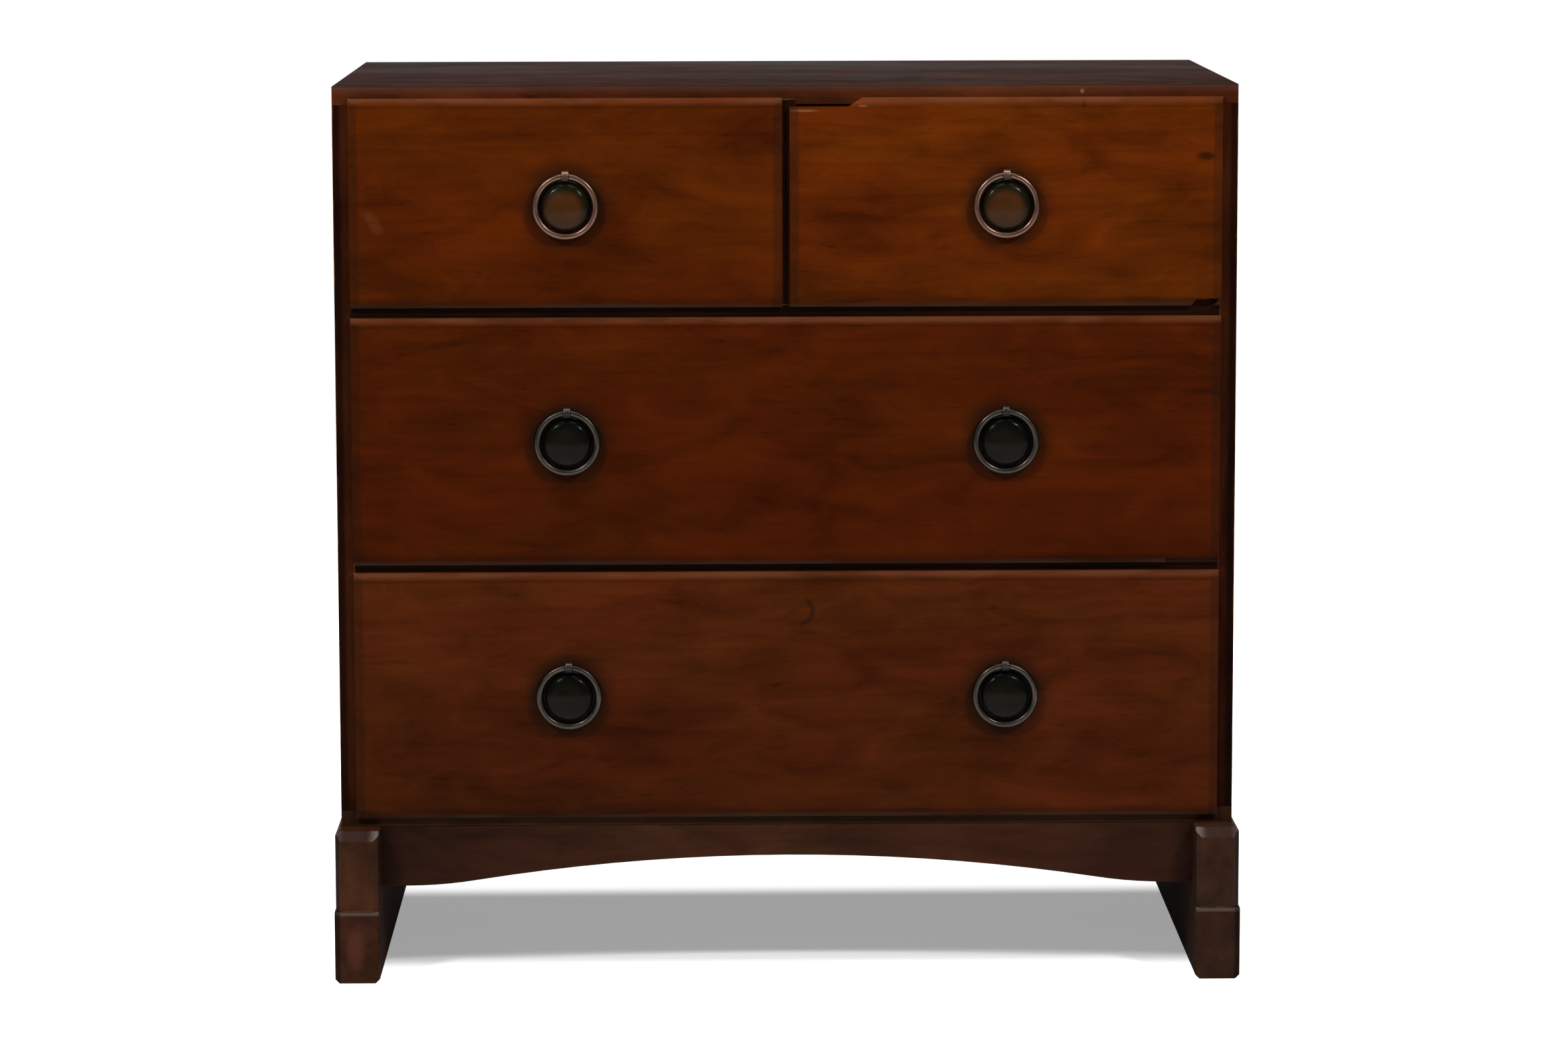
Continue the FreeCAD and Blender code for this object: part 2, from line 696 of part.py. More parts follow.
def lipped_front(label, opening, core):
    """A front whose bevelled lip laps over the case, with a core that fills the drawer's end."""
    x, width, z, height = opening
    core_x, core_width, core_z, core_height = core
    lip_width = width + " + 2 * lip_overlap"
    lip_height = height + " + 2 * lip_overlap"
    lip_x, lip_z = x + " - lip_overlap", z + " - lip_overlap"
    field = wedge(label + "_field", BACK, [lip_x, "lip_face_y", lip_z],
                  ("bevel_width", lip_width + " - bevel_width"), ("0", lip_width), "bevel_depth",
                  ("bevel_width", lip_height + " - bevel_width", "0", lip_height))
    lip = box(label + "_lip", [lip_x, "lip_face_y + bevel_depth", lip_z], [lip_width, "lip_edge", lip_height])
    block = box(label + "_core", [core_x, "lip_back_y", core_z],
                [core_width, "lip_gap + front_core", core_height])
    return fuse(label + "_front_blank", [field, lip, block])


def top_right_chips():
    """Two splinters through the lip: one from its top left corner, one near its lower right corner."""
    through = ("0", "lip_thickness") * 2
    top = wedge("top_chip", UP, ["divider_board / 2 - lip_overlap", "lip_back_y", "top_z - drawer_top_gap"],
                ("0", "top_chip_length - top_chip_slant"), ("0", "top_chip_length"),
                "lip_overlap + drawer_top_gap", through)
    end = wedge("end_chip", UP, ["inner_half + lip_overlap - end_chip_inset", "lip_back_y",
                                 "high_z - lip_overlap"],
                ("0", "end_chip_length"), ("end_chip_slant", "end_chip_slant + end_chip_length"),
                "lip_overlap + running_gap", through)
    return top, end


def middle_chip():
    """A worn step along the lower lip, at its right end."""
    return box("worn_chip", ["inner_half + lip_overlap - worn_chip_inset - worn_chip_length", "lip_face_y",
                             "middle_z - lip_overlap"],
               ["worn_chip_length", "bevel_depth + worn_chip_depth", "worn_chip_height"])


# The ring pulls


def pull_boss(name, x, z):
    """A turned boss: a rim, a dome whose shoulder runs into its crown, a stud, and a lug with an eye."""
    rim_z = "stud_length + rim_height"
    wall_z = rim_z + " + dome_wall"
    body = new_body(name + "_boss_body", [x, "lip_face_y + stud_length", z], Rotation(Vector(0, 0, 1), 180))
    profile = [("0", "0"), ("stud_width / 2", "0"), ("stud_width / 2", "stud_length"),
               ("rim_width / 2", "stud_length"), ("rim_width / 2", rim_z), ("dome_width / 2", rim_z),
               ("dome_width / 2", wall_z), ("crown_edge", wall_z + " + shoulder_height"),
               ("0", wall_z + " + shoulder_height + crown_height")]
    turned = body.newObject("PartDesign::Revolution", name + "_turned")
    turned.Profile = outline(body, name + "_profile", "XY_Plane", profile,
                             {6: "dome_shoulder", 7: "crown_radius"})
    turned.ReferenceAxis = (turned.Profile[0], ["V_Axis"])
    turned.Angle = 360
    root_z = "dome_width / 2 - lug_root_inset"
    lug = [("stud_length", root_z), ("stud_length + ring_standoff", root_z),
           ("stud_length + ring_standoff", "ring_radius - eye_radius"),
           ("stud_length + ring_standoff + eye_radius", "ring_radius"),
           ("stud_length + ring_standoff", "ring_radius + eye_radius"),
           ("stud_length", "ring_radius + eye_radius")]
    lug_side = outline(body, name + "_lug", "YZ_Plane", lug, {2: "eye_radius", 3: "eye_radius"})
    lug_pad = pad(body, lug_side, name + "_lug_pad", "eye_width")
    lug_pad.Midplane = True
    eye = rod(name + "_eye", [x + " - eye_width", "lip_face_y - ring_standoff", z + " + ring_radius"],
              "eye_hole", "2 * eye_width", "x")
    return cut(name + "_boss", body, [eye])


def pull_nut(name, x, z):
    """The square nut on the stud, inside the drawer."""
    blank = box(name + "_nut_blank", [x + " - nut_width / 2", "core_back_y", z + " - nut_width / 2"],
                ["nut_width", "nut_height", "nut_width"])
    hole = rod(name + "_nut_hole", [x, "core_back_y", z], "stud_width / 2 + fastener_gap", "nut_height", "y")
    return cut(name + "_nut", blank, [hole])


def pull_ring(name, x, z):
    ring = document.addObject("Part::Torus", name + "_ring")
    ring.Placement = Placement(Vector(), Rotation(Vector(1, 0, 0), 90))
    bind(ring, Radius1="ring_radius", Radius2="wire_width / 2")
    place(ring, [x, "lip_face_y - ring_standoff", z])
    return ring


# The whole chest

nail_holes = back_nails()
screw_holes = base_screws()
dowel_holes = foot_dowels()

top_tails, bottom_tails = make_sides()
make_top_and_bottom()
make_rails_and_runners()
make_back()

make_plinth("left", "-plinth_half", "0", "-plinth_inner - base_tenon")
make_plinth("right", "plinth_inner", "plinth_board", "plinth_inner")
make_foot("left", "-foot_half")
make_foot("right", "plinth_inner")
make_apron_and_rail()

high_pull_z = "high_z + high_opening / 2 - pull_drop"
middle_pull_z = "middle_z + middle_opening / 2"
low_pull_z = "low_z + low_opening / 2"
make_drawer("top_left_drawer", ["-inner_half", "short_opening", "high_z", "high_opening"],
            UPPER_DRAWER_TAILS, [("top_left", "-short_middle_x", high_pull_z)])
make_drawer("top_right_drawer", ["divider_board / 2", "short_opening", "high_z", "high_opening"],
            UPPER_DRAWER_TAILS, [("top_right", "short_middle_x", high_pull_z)], top_right_chips())
make_drawer("middle_drawer", ["-inner_half", "2 * inner_half", "middle_z", "middle_opening"],
            LOWER_DRAWER_TAILS, [("middle_left", "-short_middle_x", middle_pull_z),
                                ("middle_right", "short_middle_x", middle_pull_z)], [middle_chip()])
make_drawer("bottom_drawer", ["-inner_half", "2 * inner_half", "low_z", "low_opening"],
            LOWER_DRAWER_TAILS, [("bottom_left", "-short_middle_x", low_pull_z),
                                ("bottom_right", "short_middle_x", low_pull_z)])

document.recompute()
failed = [thing.Name for thing in document.Objects if {"Invalid", "Error"} & set(thing.State)]
failed += [thing.Label for thing in pieces if thing.Shape.isNull() or not thing.Shape.isValid()]
if failed:
    raise RuntimeError("These failed: " + ", ".join(failed))

os.makedirs("parts", exist_ok=True)
for thing in pieces:
    thing.Shape.exportStep("parts/%s.step" % thing.Label)
    print("%-28s %2d solid(s) %12.1f mm3" % (thing.Label, len(thing.Shape.Solids), thing.Shape.Volume))
print(len(pieces), "sub-parts")
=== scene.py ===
import math

import bpy
from mathutils import Euler, Matrix, Vector


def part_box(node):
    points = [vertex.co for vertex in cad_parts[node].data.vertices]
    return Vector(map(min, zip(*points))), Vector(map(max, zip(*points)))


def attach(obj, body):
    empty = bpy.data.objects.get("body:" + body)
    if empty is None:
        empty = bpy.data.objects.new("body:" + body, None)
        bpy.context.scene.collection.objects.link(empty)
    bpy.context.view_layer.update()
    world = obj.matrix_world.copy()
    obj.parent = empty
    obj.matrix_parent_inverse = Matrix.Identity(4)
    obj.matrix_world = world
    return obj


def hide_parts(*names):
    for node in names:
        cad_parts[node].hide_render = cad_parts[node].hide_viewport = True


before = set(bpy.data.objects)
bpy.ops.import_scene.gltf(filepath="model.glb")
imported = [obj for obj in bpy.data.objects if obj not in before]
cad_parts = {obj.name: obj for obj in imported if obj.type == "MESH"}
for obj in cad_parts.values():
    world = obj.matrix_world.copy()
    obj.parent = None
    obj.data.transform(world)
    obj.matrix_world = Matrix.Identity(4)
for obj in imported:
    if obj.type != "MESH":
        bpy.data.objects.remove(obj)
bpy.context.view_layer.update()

# Each drawer's pulls
PULLS = {
    "top_left_drawer": ("top_left",),
    "top_right_drawer": ("top_right",),
    "middle_drawer": ("middle_left", "middle_right"),
    "bottom_drawer": ("bottom_left", "bottom_right"),
}

# Camera
CAMERA_PLACE = (-0.0696, -4.6142, 1.0296)
CAMERA_DOWN = 7.441
CAMERA_HEADING = -0.877
CAMERA_ROLL = 0.126
CAMERA_LENS = 114.563
SENSOR_WIDTH = 36.0
CAMERA_SHIFT_Y = -0.03

# Stage: a floor, white to the camera but for the chest's shadow, which is painted into its glow under the
# chest, in a white world
FLOOR_HALF_WIDTH = 4.0
FLOOR_FRONT = -3.0
FLOOR_BACK = 3.0
STAGE_GREY = 0.75
GLOW_UNDER = 0.34
GLOW_AROUND = 0.9
SHADE_FRONT = -0.165
SHADE_BACK = 0.14
SHADE_HALF_WIDTH = 0.39
SHADE_EDGE = 0.025

# Lamps: name, place, aim, width, height, watts
LAMPS = (
    ("key_left", (-1.55, -1.95, 2.25), (-0.2, -0.2, 0.5), 0.32, 0.32, 42),
    ("key_right", (1.55, -1.95, 2.25), (0.2, -0.2, 0.5), 0.32, 0.32, 42),
    ("overhead", (0, -0.5, 2.9), (0, -0.1, 0.3), 1.8, 1.0, 34),
    ("rear", (0, 2.2, 2.3), (0, 0.2, 0.4), 1.6, 0.8, 28),
)
ROOM_LIGHT = 0.12

# Turns that lay a board's fibres along X
ALONG_X = (0, 0, 0)
ALONG_Y = (0, 0, -math.pi / 2)
ALONG_Z = (0, math.pi / 2, 0)


# Shader graphs


class Graph:
    """The node tree of a material, a group or the world, with short ways to add and join nodes."""

    def __init__(self, tree):
        self.tree = tree

    def add(self, kind, inputs=None, **settings):
        made = self.tree.nodes.new(kind)
        for name, value in settings.items():
            setattr(made, name, value)
        for key, value in (inputs or {}).items():
            self.give(made.inputs[key], value)
        return made

    def give(self, socket, value):
        if isinstance(value, bpy.types.NodeSocket):
            self.tree.links.new(value, socket)
        else:
            socket.default_value = value

    def math(self, operation, *values, clamp=False):
        made = self.add("ShaderNodeMath", dict(enumerate(values)), operation=operation, use_clamp=clamp)
        return made.outputs[0]

    def vector(self, operation, *values):
        made = self.add("ShaderNodeVectorMath", dict(enumerate(values)), operation=operation)
        return made.outputs["Value" if operation in ("LENGTH", "DOT_PRODUCT") else "Vector"]

    def split(self, vector):
        return self.add("ShaderNodeSeparateXYZ", {"Vector": vector}).outputs

    def noise(self, place, scale, detail=3.0, roughness=0.55, distortion=0.0):
        """Noise about 0.5, its grain stretched by a scale for each axis."""
        stretched = self.vector("MULTIPLY", place, scale)
        made = self.add("ShaderNodeTexNoise", {"Vector": stretched, "Scale": 1.0, "Detail": detail,
                                               "Roughness": roughness, "Distortion": distortion})
        return made.outputs["Fac"]

    def ramp(self, value, low, high, to_low=0.0, to_high=1.0):
        """Takes low..high to to_low..to_high, with soft ends."""
        made = self.add("ShaderNodeMapRange",
                        {"Value": value, "From Min": low, "From Max": high, "To Min": to_low,
                         "To Max": to_high}, interpolation_type="SMOOTHSTEP")
        return made.outputs["Result"]

    def total(self, base, *terms):
        """base plus each value times its weight, where a term is (value, weight)."""
        result = base
        for value, weight in terms:
            result = self.math("MULTIPLY_ADD", value, weight, result)
        return result

    def blend(self, amount, first, second):
        made = self.add("ShaderNodeMix", {0: amount, 6: first, 7: second}, data_type="RGBA")
        return made.outputs[2]

    def tint(self, colour, factor):
        """Brightens or darkens a colour by a factor."""
        made = self.add("ShaderNodeVectorMath", {0: colour, "Scale": factor}, operation="SCALE")
        return made.outputs["Vector"]

    def place(self):
        return self.add("ShaderNodeTexCoord").outputs["Object"]


def rgba(colour):
    return (*colour, 1.0)


def new_group(name, inputs, outputs):
    """An empty node group; inputs are (name, kind), outputs are names of numbers."""
    tree = bpy.data.node_groups.new(name, "ShaderNodeTree")
    for label, kind in inputs:
        tree.interface.new_socket(label, in_out="INPUT", socket_type="NodeSocket" + kind)
    for label in outputs:
        tree.interface.new_socket(label, in_out="OUTPUT", socket_type="NodeSocketFloat")
    graph = Graph(tree)
    return graph, graph.add("NodeGroupInput").outputs


def finish_material(name, build):
    """A material whose surface build makes; it returns the shader's inputs, a bump height and its depth."""
    material = bpy.data.materials.new(name)
    material.use_nodes = True
    material.node_tree.nodes.clear()
    graph = Graph(material.node_tree)
    inputs, height, depth = build(graph, graph.place())
    shader = graph.add("ShaderNodeBsdfPrincipled", inputs)
    relief = graph.add("ShaderNodeBump", {"Height": height, "Distance": depth})
    graph.give(shader.inputs["Normal"], relief.outputs["Normal"])
    graph.give(graph.add("ShaderNodeOutputMaterial").inputs["Surface"], shader.outputs[0])
    return material


# Wood


def make_wood_figure():
    """The figure of solid wood with its fibres along X and the tree's middle at Y = Z = 0."""
    outputs = ("Rings", "Fibre", "Pores", "Flecks", "Cloud", "Broad")
    graph, given = new_group("wood_figure", (("Place", "Vector"), ("Ring width", "Float")), outputs)
    place = given["Place"]
    drift = graph.add("ShaderNodeTexNoise", {"Vector": graph.vector("MULTIPLY", place, (2.2, 8.0, 8.0)),
                                             "Scale": 1.0, "Detail": 4.0, "Roughness": 0.5})
    shift = graph.vector("SUBTRACT", drift.outputs["Color"], (0.5, 0.5, 0.5))
    bent = graph.vector("ADD", place, graph.vector("MULTIPLY", shift, (0.0, 0.07, 0.07)))
    reach = graph.vector("LENGTH", graph.vector("MULTIPLY", bent, (0.0, 1.0, 1.0)))
    year = graph.math("FRACT", graph.math("DIVIDE", reach, given["Ring width"]))
    late = graph.math("MULTIPLY", graph.math("POWER", year, 2.0), graph.ramp(year, 0.9, 1.0, 1.0, 0.0))
    made = {
        "Rings": late,
        "Fibre": graph.noise(place, (7.0, 330.0, 330.0), detail=4.0, roughness=0.6),
        "Pores": graph.ramp(graph.noise(place, (70.0, 1700.0, 1700.0), detail=1.0), 0.60, 0.74),
        "Flecks": graph.ramp(graph.noise(place, (45.0, 190.0, 190.0), detail=3.0, roughness=0.6), 0.62, 0.78),
        "Cloud": graph.noise(place, (11.0, 30.0, 30.0), detail=5.0, roughness=0.6, distortion=0.8),
        "Broad": graph.noise(place, (3.0, 6.5, 6.5), detail=2.0, distortion=0.5),
    }
    leave = graph.add("NodeGroupOutput")
    for label in outputs:
        graph.give(leave.inputs[label], made[label])
    return graph.tree


def make_edge_distances():
    """How far a place is from a box's nearest arris, and from the rim of its X and Z sides."""
    inputs = (("Place", "Vector"), ("Low", "Vector"), ("High", "Vector"))
    graph, given = new_group("edge_distances", inputs, ("Arris", "Rim"))
    from_low = graph.vector("SUBTRACT", given["Place"], given["Low"])
    from_high = graph.vector("SUBTRACT", given["High"], given["Place"])
    x, y, z = graph.split(graph.vector("MINIMUM", from_low, from_high))
    small, large = graph.math("MINIMUM", x, y), graph.math("MAXIMUM", x, y)
    leave = graph.add("NodeGroupOutput")
    graph.give(leave.inputs["Arris"], graph.math("MAXIMUM", small, graph.math("MINIMUM", large, z)))
    graph.give(leave.inputs["Rim"], graph.math("MINIMUM", x, z))
    return graph.tree


WOOD_FIGURE = make_wood_figure()
EDGE_DISTANCES = make_edge_distances()


def wood(node, tone, along, heart, contrast=1.0, grain=1.0, ring_width=0.009, rough=0.5, specular=0.1,
         worn=None, layers=(), dull_and_shaded_inside=None):
    """A wood for one board: tone is its dark and light colour, heart the middle of its tree.

    contrast is that of its clouds and grain that of its fine figure. worn is the colour of its worn
    arrises and how wide they are; each layer changes the colour.
    The last argument is the distance from the middle plane within which the board was never polished, and
    within which its colour is darkened as painted shade."""
    low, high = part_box(node)

    def build(graph, place):
        turned = graph.add("ShaderNodeMapping", {"Vector": graph.vector("SUBTRACT", place, heart),
                                                 "Rotation": along}).outputs["Vector"]
        figure = graph.add("ShaderNodeGroup", {"Place": turned, "Ring width": ring_width},
                           node_tree=WOOD_FIGURE).outputs
        weights = {"Cloud": 1.9 * contrast, "Broad": 1.5 * contrast, "Fibre": -0.32 * grain,
                   "Rings": -0.12 * grain, "Pores": -0.12 * grain, "Flecks": -0.35 * grain}
        base = 0.6 - 0.5 * (weights["Cloud"] + weights["Broad"] + weights["Fibre"])
        shade = graph.total(base, *((figure[label], weight) for label, weight in weights.items()))
        shade = graph.math("MAXIMUM", 0.0, graph.math("MINIMUM", shade, 1.0))
        colour = graph.blend(shade, rgba(tone[0]), rgba(tone[1]))
        redder = graph.ramp(graph.noise(turned, (4.0, 14.0, 14.0), detail=3.0), 0.35, 0.65)
        green = graph.ramp(redder, 0.0, 1.0, 1.0 + 0.06 * contrast, 1.0 - 0.13 * contrast)
        hue = graph.add("ShaderNodeCombineXYZ", {"X": 1.0, "Y": green, "Z": 1.0}).outputs["Vector"]
        colour = graph.vector("MULTIPLY", colour, hue)
        for layer in layers:
            colour = layer(graph, place, colour)
        if worn:
            distances = graph.add("ShaderNodeGroup", {"Place": place, "Low": low, "High": high},
                                  node_tree=EDGE_DISTANCES).outputs
            rub = graph.noise(place, (55.0, 55.0, 55.0), detail=5.0, roughness=0.65)
            width = graph.ramp(rub, 0.38, 0.72, 0.15 * worn[1], worn[1])
            amount = graph.ramp(graph.math("DIVIDE", distances["Arris"], width), 0.4, 1.0, 0.75, 0.0)
            colour = graph.blend(amount, colour, rgba(worn[0]))
        height = graph.total(0.0, (figure["Fibre"], 0.5), (figure["Pores"], -0.8), (figure["Cloud"], 0.5))
        wipe = graph.noise(place, (24.0, 24.0, 24.0), detail=4.0)
        roughness = graph.ramp(wipe, 0.3, 0.7, rough - 0.07, rough + 0.09)
        if dull_and_shaded_inside:
            aside = graph.math("ABSOLUTE", graph.split(place)[0])
            dull = graph.ramp(aside, dull_and_shaded_inside, dull_and_shaded_inside + 0.001, 1.0, 0.0)
            roughness = graph.math("MAXIMUM", roughness, dull)
            # the unpolished inner faces are darkened here as painted shade
            colour = graph.tint(colour, graph.total(1.0, (dull, -0.55)))
        return {"Base Color": colour, "Roughness": roughness, "Specular IOR Level": specular}, height, 0.0001

    return finish_material(node + "_wood", build)


# Layers over a wood's colour


def fade(axis, low, high, at_low, at_high):
    """Brightens or darkens a board steadily along an axis."""
    def layer(graph, place, colour):
        return graph.tint(colour, graph.ramp(graph.split(place)[axis], low, high, at_low, at_high))
    return layer


def spot(x, z, width, height, colour, strength, tilt=0.0, ragged=0.5):
    """A soft-edged spot on a front, such as a knot, a stain or a bruise."""
    def layer(graph, place, under):
        flat = graph.vector("MULTIPLY", graph.vector("SUBTRACT", place, (x, 0.0, z)), (1.0, 0.0, 1.0))
        turned = graph.add("ShaderNodeMapping", {"Vector": flat, "Rotation": (0, math.radians(tilt), 0),
                                                 "Scale": (width / 2, 1.0, height / 2)},
                           vector_type="TEXTURE").outputs["Vector"]
        ripple = graph.noise(place, (1.6 / width, 0.0, 1.6 / height), detail=4.0)
        reach = graph.total(graph.vector("LENGTH", turned), (ripple, ragged))
        amount = graph.ramp(reach, 0.3 + 0.5 * ragged, 1.0 + 0.5 * ragged, strength, 0.0)
        return graph.blend(amount, under, rgba(colour))
    return layer


def crescent(x, z, radius, width, colour, strength, side):
    """A thin curved mark; side is the X and Z direction in which it bulges."""
    def layer(graph, place, under):
        moved = graph.vector("SUBTRACT", place, (x, 0.0, z))
        flat = graph.vector("MULTIPLY", moved, (1.0, 0.0, 1.0))
        off = graph.math("ABSOLUTE", graph.math("SUBTRACT", graph.vector("LENGTH", flat), radius))
        line = graph.ramp(off, 0.2 * width, 0.5 * width, strength, 0.0)
        part = graph.vector("DOT_PRODUCT", flat, (side[0] / radius, 0.0, side[1] / radius))
        return graph.blend(graph.math("MULTIPLY", line, graph.ramp(part, 0.0, 0.5)), under, rgba(colour))
    return layer


def handled_grime_and_shadow(ring, strength):
    """Grime around a pull, where hands have been, with the pull's shadow painted in as well."""
    low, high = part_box(ring)
    centre = (low + high) / 2
    radius = (high.x - low.x) / 2

    def layer(graph, place, colour):
        flat = graph.vector("MULTIPLY", graph.vector("SUBTRACT", place, centre), (1.0, 0.0, 1.0))
        ripple = graph.noise(place, (60.0, 0.0, 60.0), detail=3.0)
        reach = graph.total(graph.vector("LENGTH", flat), (ripple, 0.012))
        amount = graph.ramp(reach, radius - 0.001, radius + 0.024, strength, 0.0)
        return graph.blend(amount, colour, rgba(GRIME_AND_SHADE))
    return layer


def dark_ends(near, far, strength):
    """Darkens a board from a distance to either side of the middle plane outwards."""
    def layer(graph, place, colour):
        aside = graph.math("ABSOLUTE", graph.split(place)[0])
        return graph.tint(colour, graph.ramp(aside, near, far, 1.0, 1.0 - strength))
    return layer


def on_front(node, depth, layers, bare=None):
    """Keeps layers to the front of a board, down to a depth.

    Behind that the board is as it was, or bare wood where bare is given."""
    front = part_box(node)[0].y

    def layer(graph, place, under):
        dressed = under
        for front_layer in layers:
            dressed = front_layer(graph, place, dressed)
        behind = graph.ramp(graph.split(place)[1], front + depth, front + depth + 0.001)
        plain = graph.blend(0.6, under, rgba(bare)) if bare else under
        return graph.blend(behind, dressed, plain)
    return layer


def soft_arris(node, width, colour, strength):
    """Wear and painted light that fade down from a board's top arris, where a rounded edge would catch the
    light.
    """
    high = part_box(node)[1]

    def layer(graph, place, under):
        ripple = graph.noise(place, (16.0, 16.0, 60.0), detail=4.0)
        down = graph.total(graph.math("SUBTRACT", high.z, graph.split(place)[2]), (ripple, 0.003))
        return graph.blend(graph.ramp(down, 0.0015, width, strength, 0.0), under, rgba(colour))
    return layer


def dusty_and_sheened_top(node, colour, strength, darkening):
    """The upward face of a board: darker all over, under a film of dust and painted sheen that grows thicker
    towards the back.
    """
    low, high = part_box(node)

    def layer(graph, place, under):
        y, z = graph.split(place)[1:]
        up = graph.ramp(z, high.z - 0.0016, high.z - 0.0002)
        dull = graph.tint(under, graph.total(1.0, (up, -darkening)))
        blotches = graph.ramp(graph.noise(place, (2.2, 9.0, 0.0), detail=5.0), 0.38, 0.62, 0.4, 1.0)
        film = graph.math("MULTIPLY", blotches, graph.ramp(y, low.y + 0.05, high.y + 0.05, 0.2, strength))
        return graph.blend(graph.math("MULTIPLY", film, up), dull, rgba(colour))
    return layer


def top_bevel(node, width, middle, inner_end, strength):
    """The bevel along the top front arris of a block: one colour along the middle, another at its inner end
    and, fainter, at its outer end; on the plinths these are painted shade and a painted highlight, on the
    feet a light line of wear and painted highlight.
    """
    low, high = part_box(node)
    near, far = min(abs(low.x), abs(high.x)), max(abs(low.x), abs(high.x))

    def layer(graph, place, under):
        x, y, z = graph.split(place)
        reach = graph.math("ADD", graph.math("SUBTRACT", high.z, z), graph.math("SUBTRACT", y, low.y))
        zone = graph.ramp(reach, width, 1.08 * width, strength, 0.0)
        aside = graph.math("ABSOLUTE", x)
        ripple = graph.noise(place, (120.0, 60.0, 60.0), detail=4.0)
        highlit = graph.ramp(graph.total(aside, (ripple, 0.008)), near + 0.005, near + 0.015, 1.0, 0.0)
        outer = graph.ramp(aside, far - 0.008, far - 0.003, 0.0, 0.3)
        highlit = graph.math("MAXIMUM", highlit, outer)
        return graph.blend(zone, under, graph.blend(highlit, rgba(middle), rgba(inner_end)))
    return layer


def bevel_dirt_and_shade(node, width, strength):
    """Old polish and dirt on the bevels at the two ends of a front, with the shade of these sideways-facing
    bevels painted in as well.
    """
    low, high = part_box(node)
    middle, half = (low.x + high.x) / 2, (high.x - low.x) / 2

    def layer(graph, place, under):
        aside = graph.math("ABSOLUTE", graph.math("SUBTRACT", graph.split(place)[0], middle))
        ripple = graph.noise(place, (30.0, 30.0, 60.0), detail=4.0)
        reach = graph.total(aside, (ripple, 0.002))
        amount = graph.ramp(reach, half - width, half - width + 0.0025, 0.0, strength)
        return graph.blend(amount, under, rgba(GRIME_AND_SHADE))
    return layer


def rubbed_and_lit_rim(edge, width, strength, colour, shading=0.0):
    """A band along the top or bottom edge of a front, where the polish is thin and a painted highlight stands
    for the arris catching light; edge is its Z.

    It fades out over its width, and shading darkens it towards its far side as painted shade."""
    def layer(graph, place, under):
        off = graph.math("ABSOLUTE", graph.math("SUBTRACT", graph.split(place)[2], edge))
        rub = graph.ramp(graph.noise(place, (14.0, 40.0, 90.0), detail=4.0), 0.35, 0.6, 0.4, 1.0)
        amount = graph.math("MULTIPLY", rub, graph.ramp(off, 0.2 * width, width, strength, 0.0))
        inside = graph.ramp(off, width, 1.08 * width, 1.0, 0.0)
        shade = graph.math("MULTIPLY", inside, graph.ramp(off, 0.3 * width, 0.95 * width, 0.0, shading))
        return graph.tint(graph.blend(amount, under, rgba(colour)), graph.total(1.0, (shade, -1.0)))
    return layer


# Metal


def old_metal(name, tone, rough, metallic, grain=90.0, pitted=0.00003, specular=0.3, painted_light=None):
    """Old metal: darker in patches, duller in others, and lightly pitted.

    The last argument takes the graph, the colour and the surface's own direction, and returns the colour with
    light and shade painted in by the way the surface faces."""
    def build(graph, place):
        patches = graph.ramp(graph.noise(place, (grain,) * 3, detail=2.0), 0.3, 0.7)
        colour = graph.blend(patches, rgba(tone[0]), rgba(tone[1]))
        if painted_light:
            colour = painted_light(graph, colour, graph.split(graph.add("ShaderNodeTexCoord").outputs["Normal"]))
        dull = graph.noise(place, (2.5 * grain,) * 3, detail=3.0)
        pits = graph.noise(place, (8 * grain,) * 3, detail=2.0)
        return {"Base Color": colour, "Roughness": graph.ramp(dull, 0.35, 0.65, rough, rough + 0.12),
                "Metallic": metallic, "Specular IOR Level": specular}, pits, pitted

    return finish_material(name, build)


def domed(centre, dark, pale):
    """Colour of a boss with painted light: dark on its upper shoulder and its sides, a painted shadow of the
    ring and painted dark reflection; paler underneath, a painted reflection of the floor.
    """
    lit_centre = (centre.x - 0.0012, 0.0, centre.z - 0.0032)

    def painted_light(graph, colour, facing):
        flat = graph.vector("MULTIPLY", graph.place(), (1.0, 0.0, 1.0))
        reach = graph.vector("LENGTH", graph.vector("SUBTRACT", flat, lit_centre))
        colour = graph.blend(graph.ramp(reach, 0.0125, 0.0205), colour, rgba(dark))
        return graph.blend(graph.ramp(facing[2], -0.15, -0.5, 0.0, 0.6), colour, rgba(pale))
    return painted_light


def shaded_eye(dark):
    """Colour of an eye: bright in front and on top, and dark beneath as painted shade."""
    def painted_light(graph, colour, facing):
        lift = graph.total(0.0, (facing[1], -0.7), (facing[2], 0.7))
        return graph.blend(graph.ramp(lift, 0.45, 0.85, 0.9, 0.0), colour, rgba(dark))
    return painted_light


def rubbed_and_shaded_wire(dark):
    """Colour of a ring: bright where hands rub its front, and dark round its sides as a painted reflection of
    dark surroundings.
    """
    def painted_light(graph, colour, facing):
        return graph.blend(graph.ramp(facing[1], -0.94, -0.55, 0.0, 0.85), colour, rgba(dark))
    return painted_light


# Ring pulls, turned more finely than the nodes they stand for

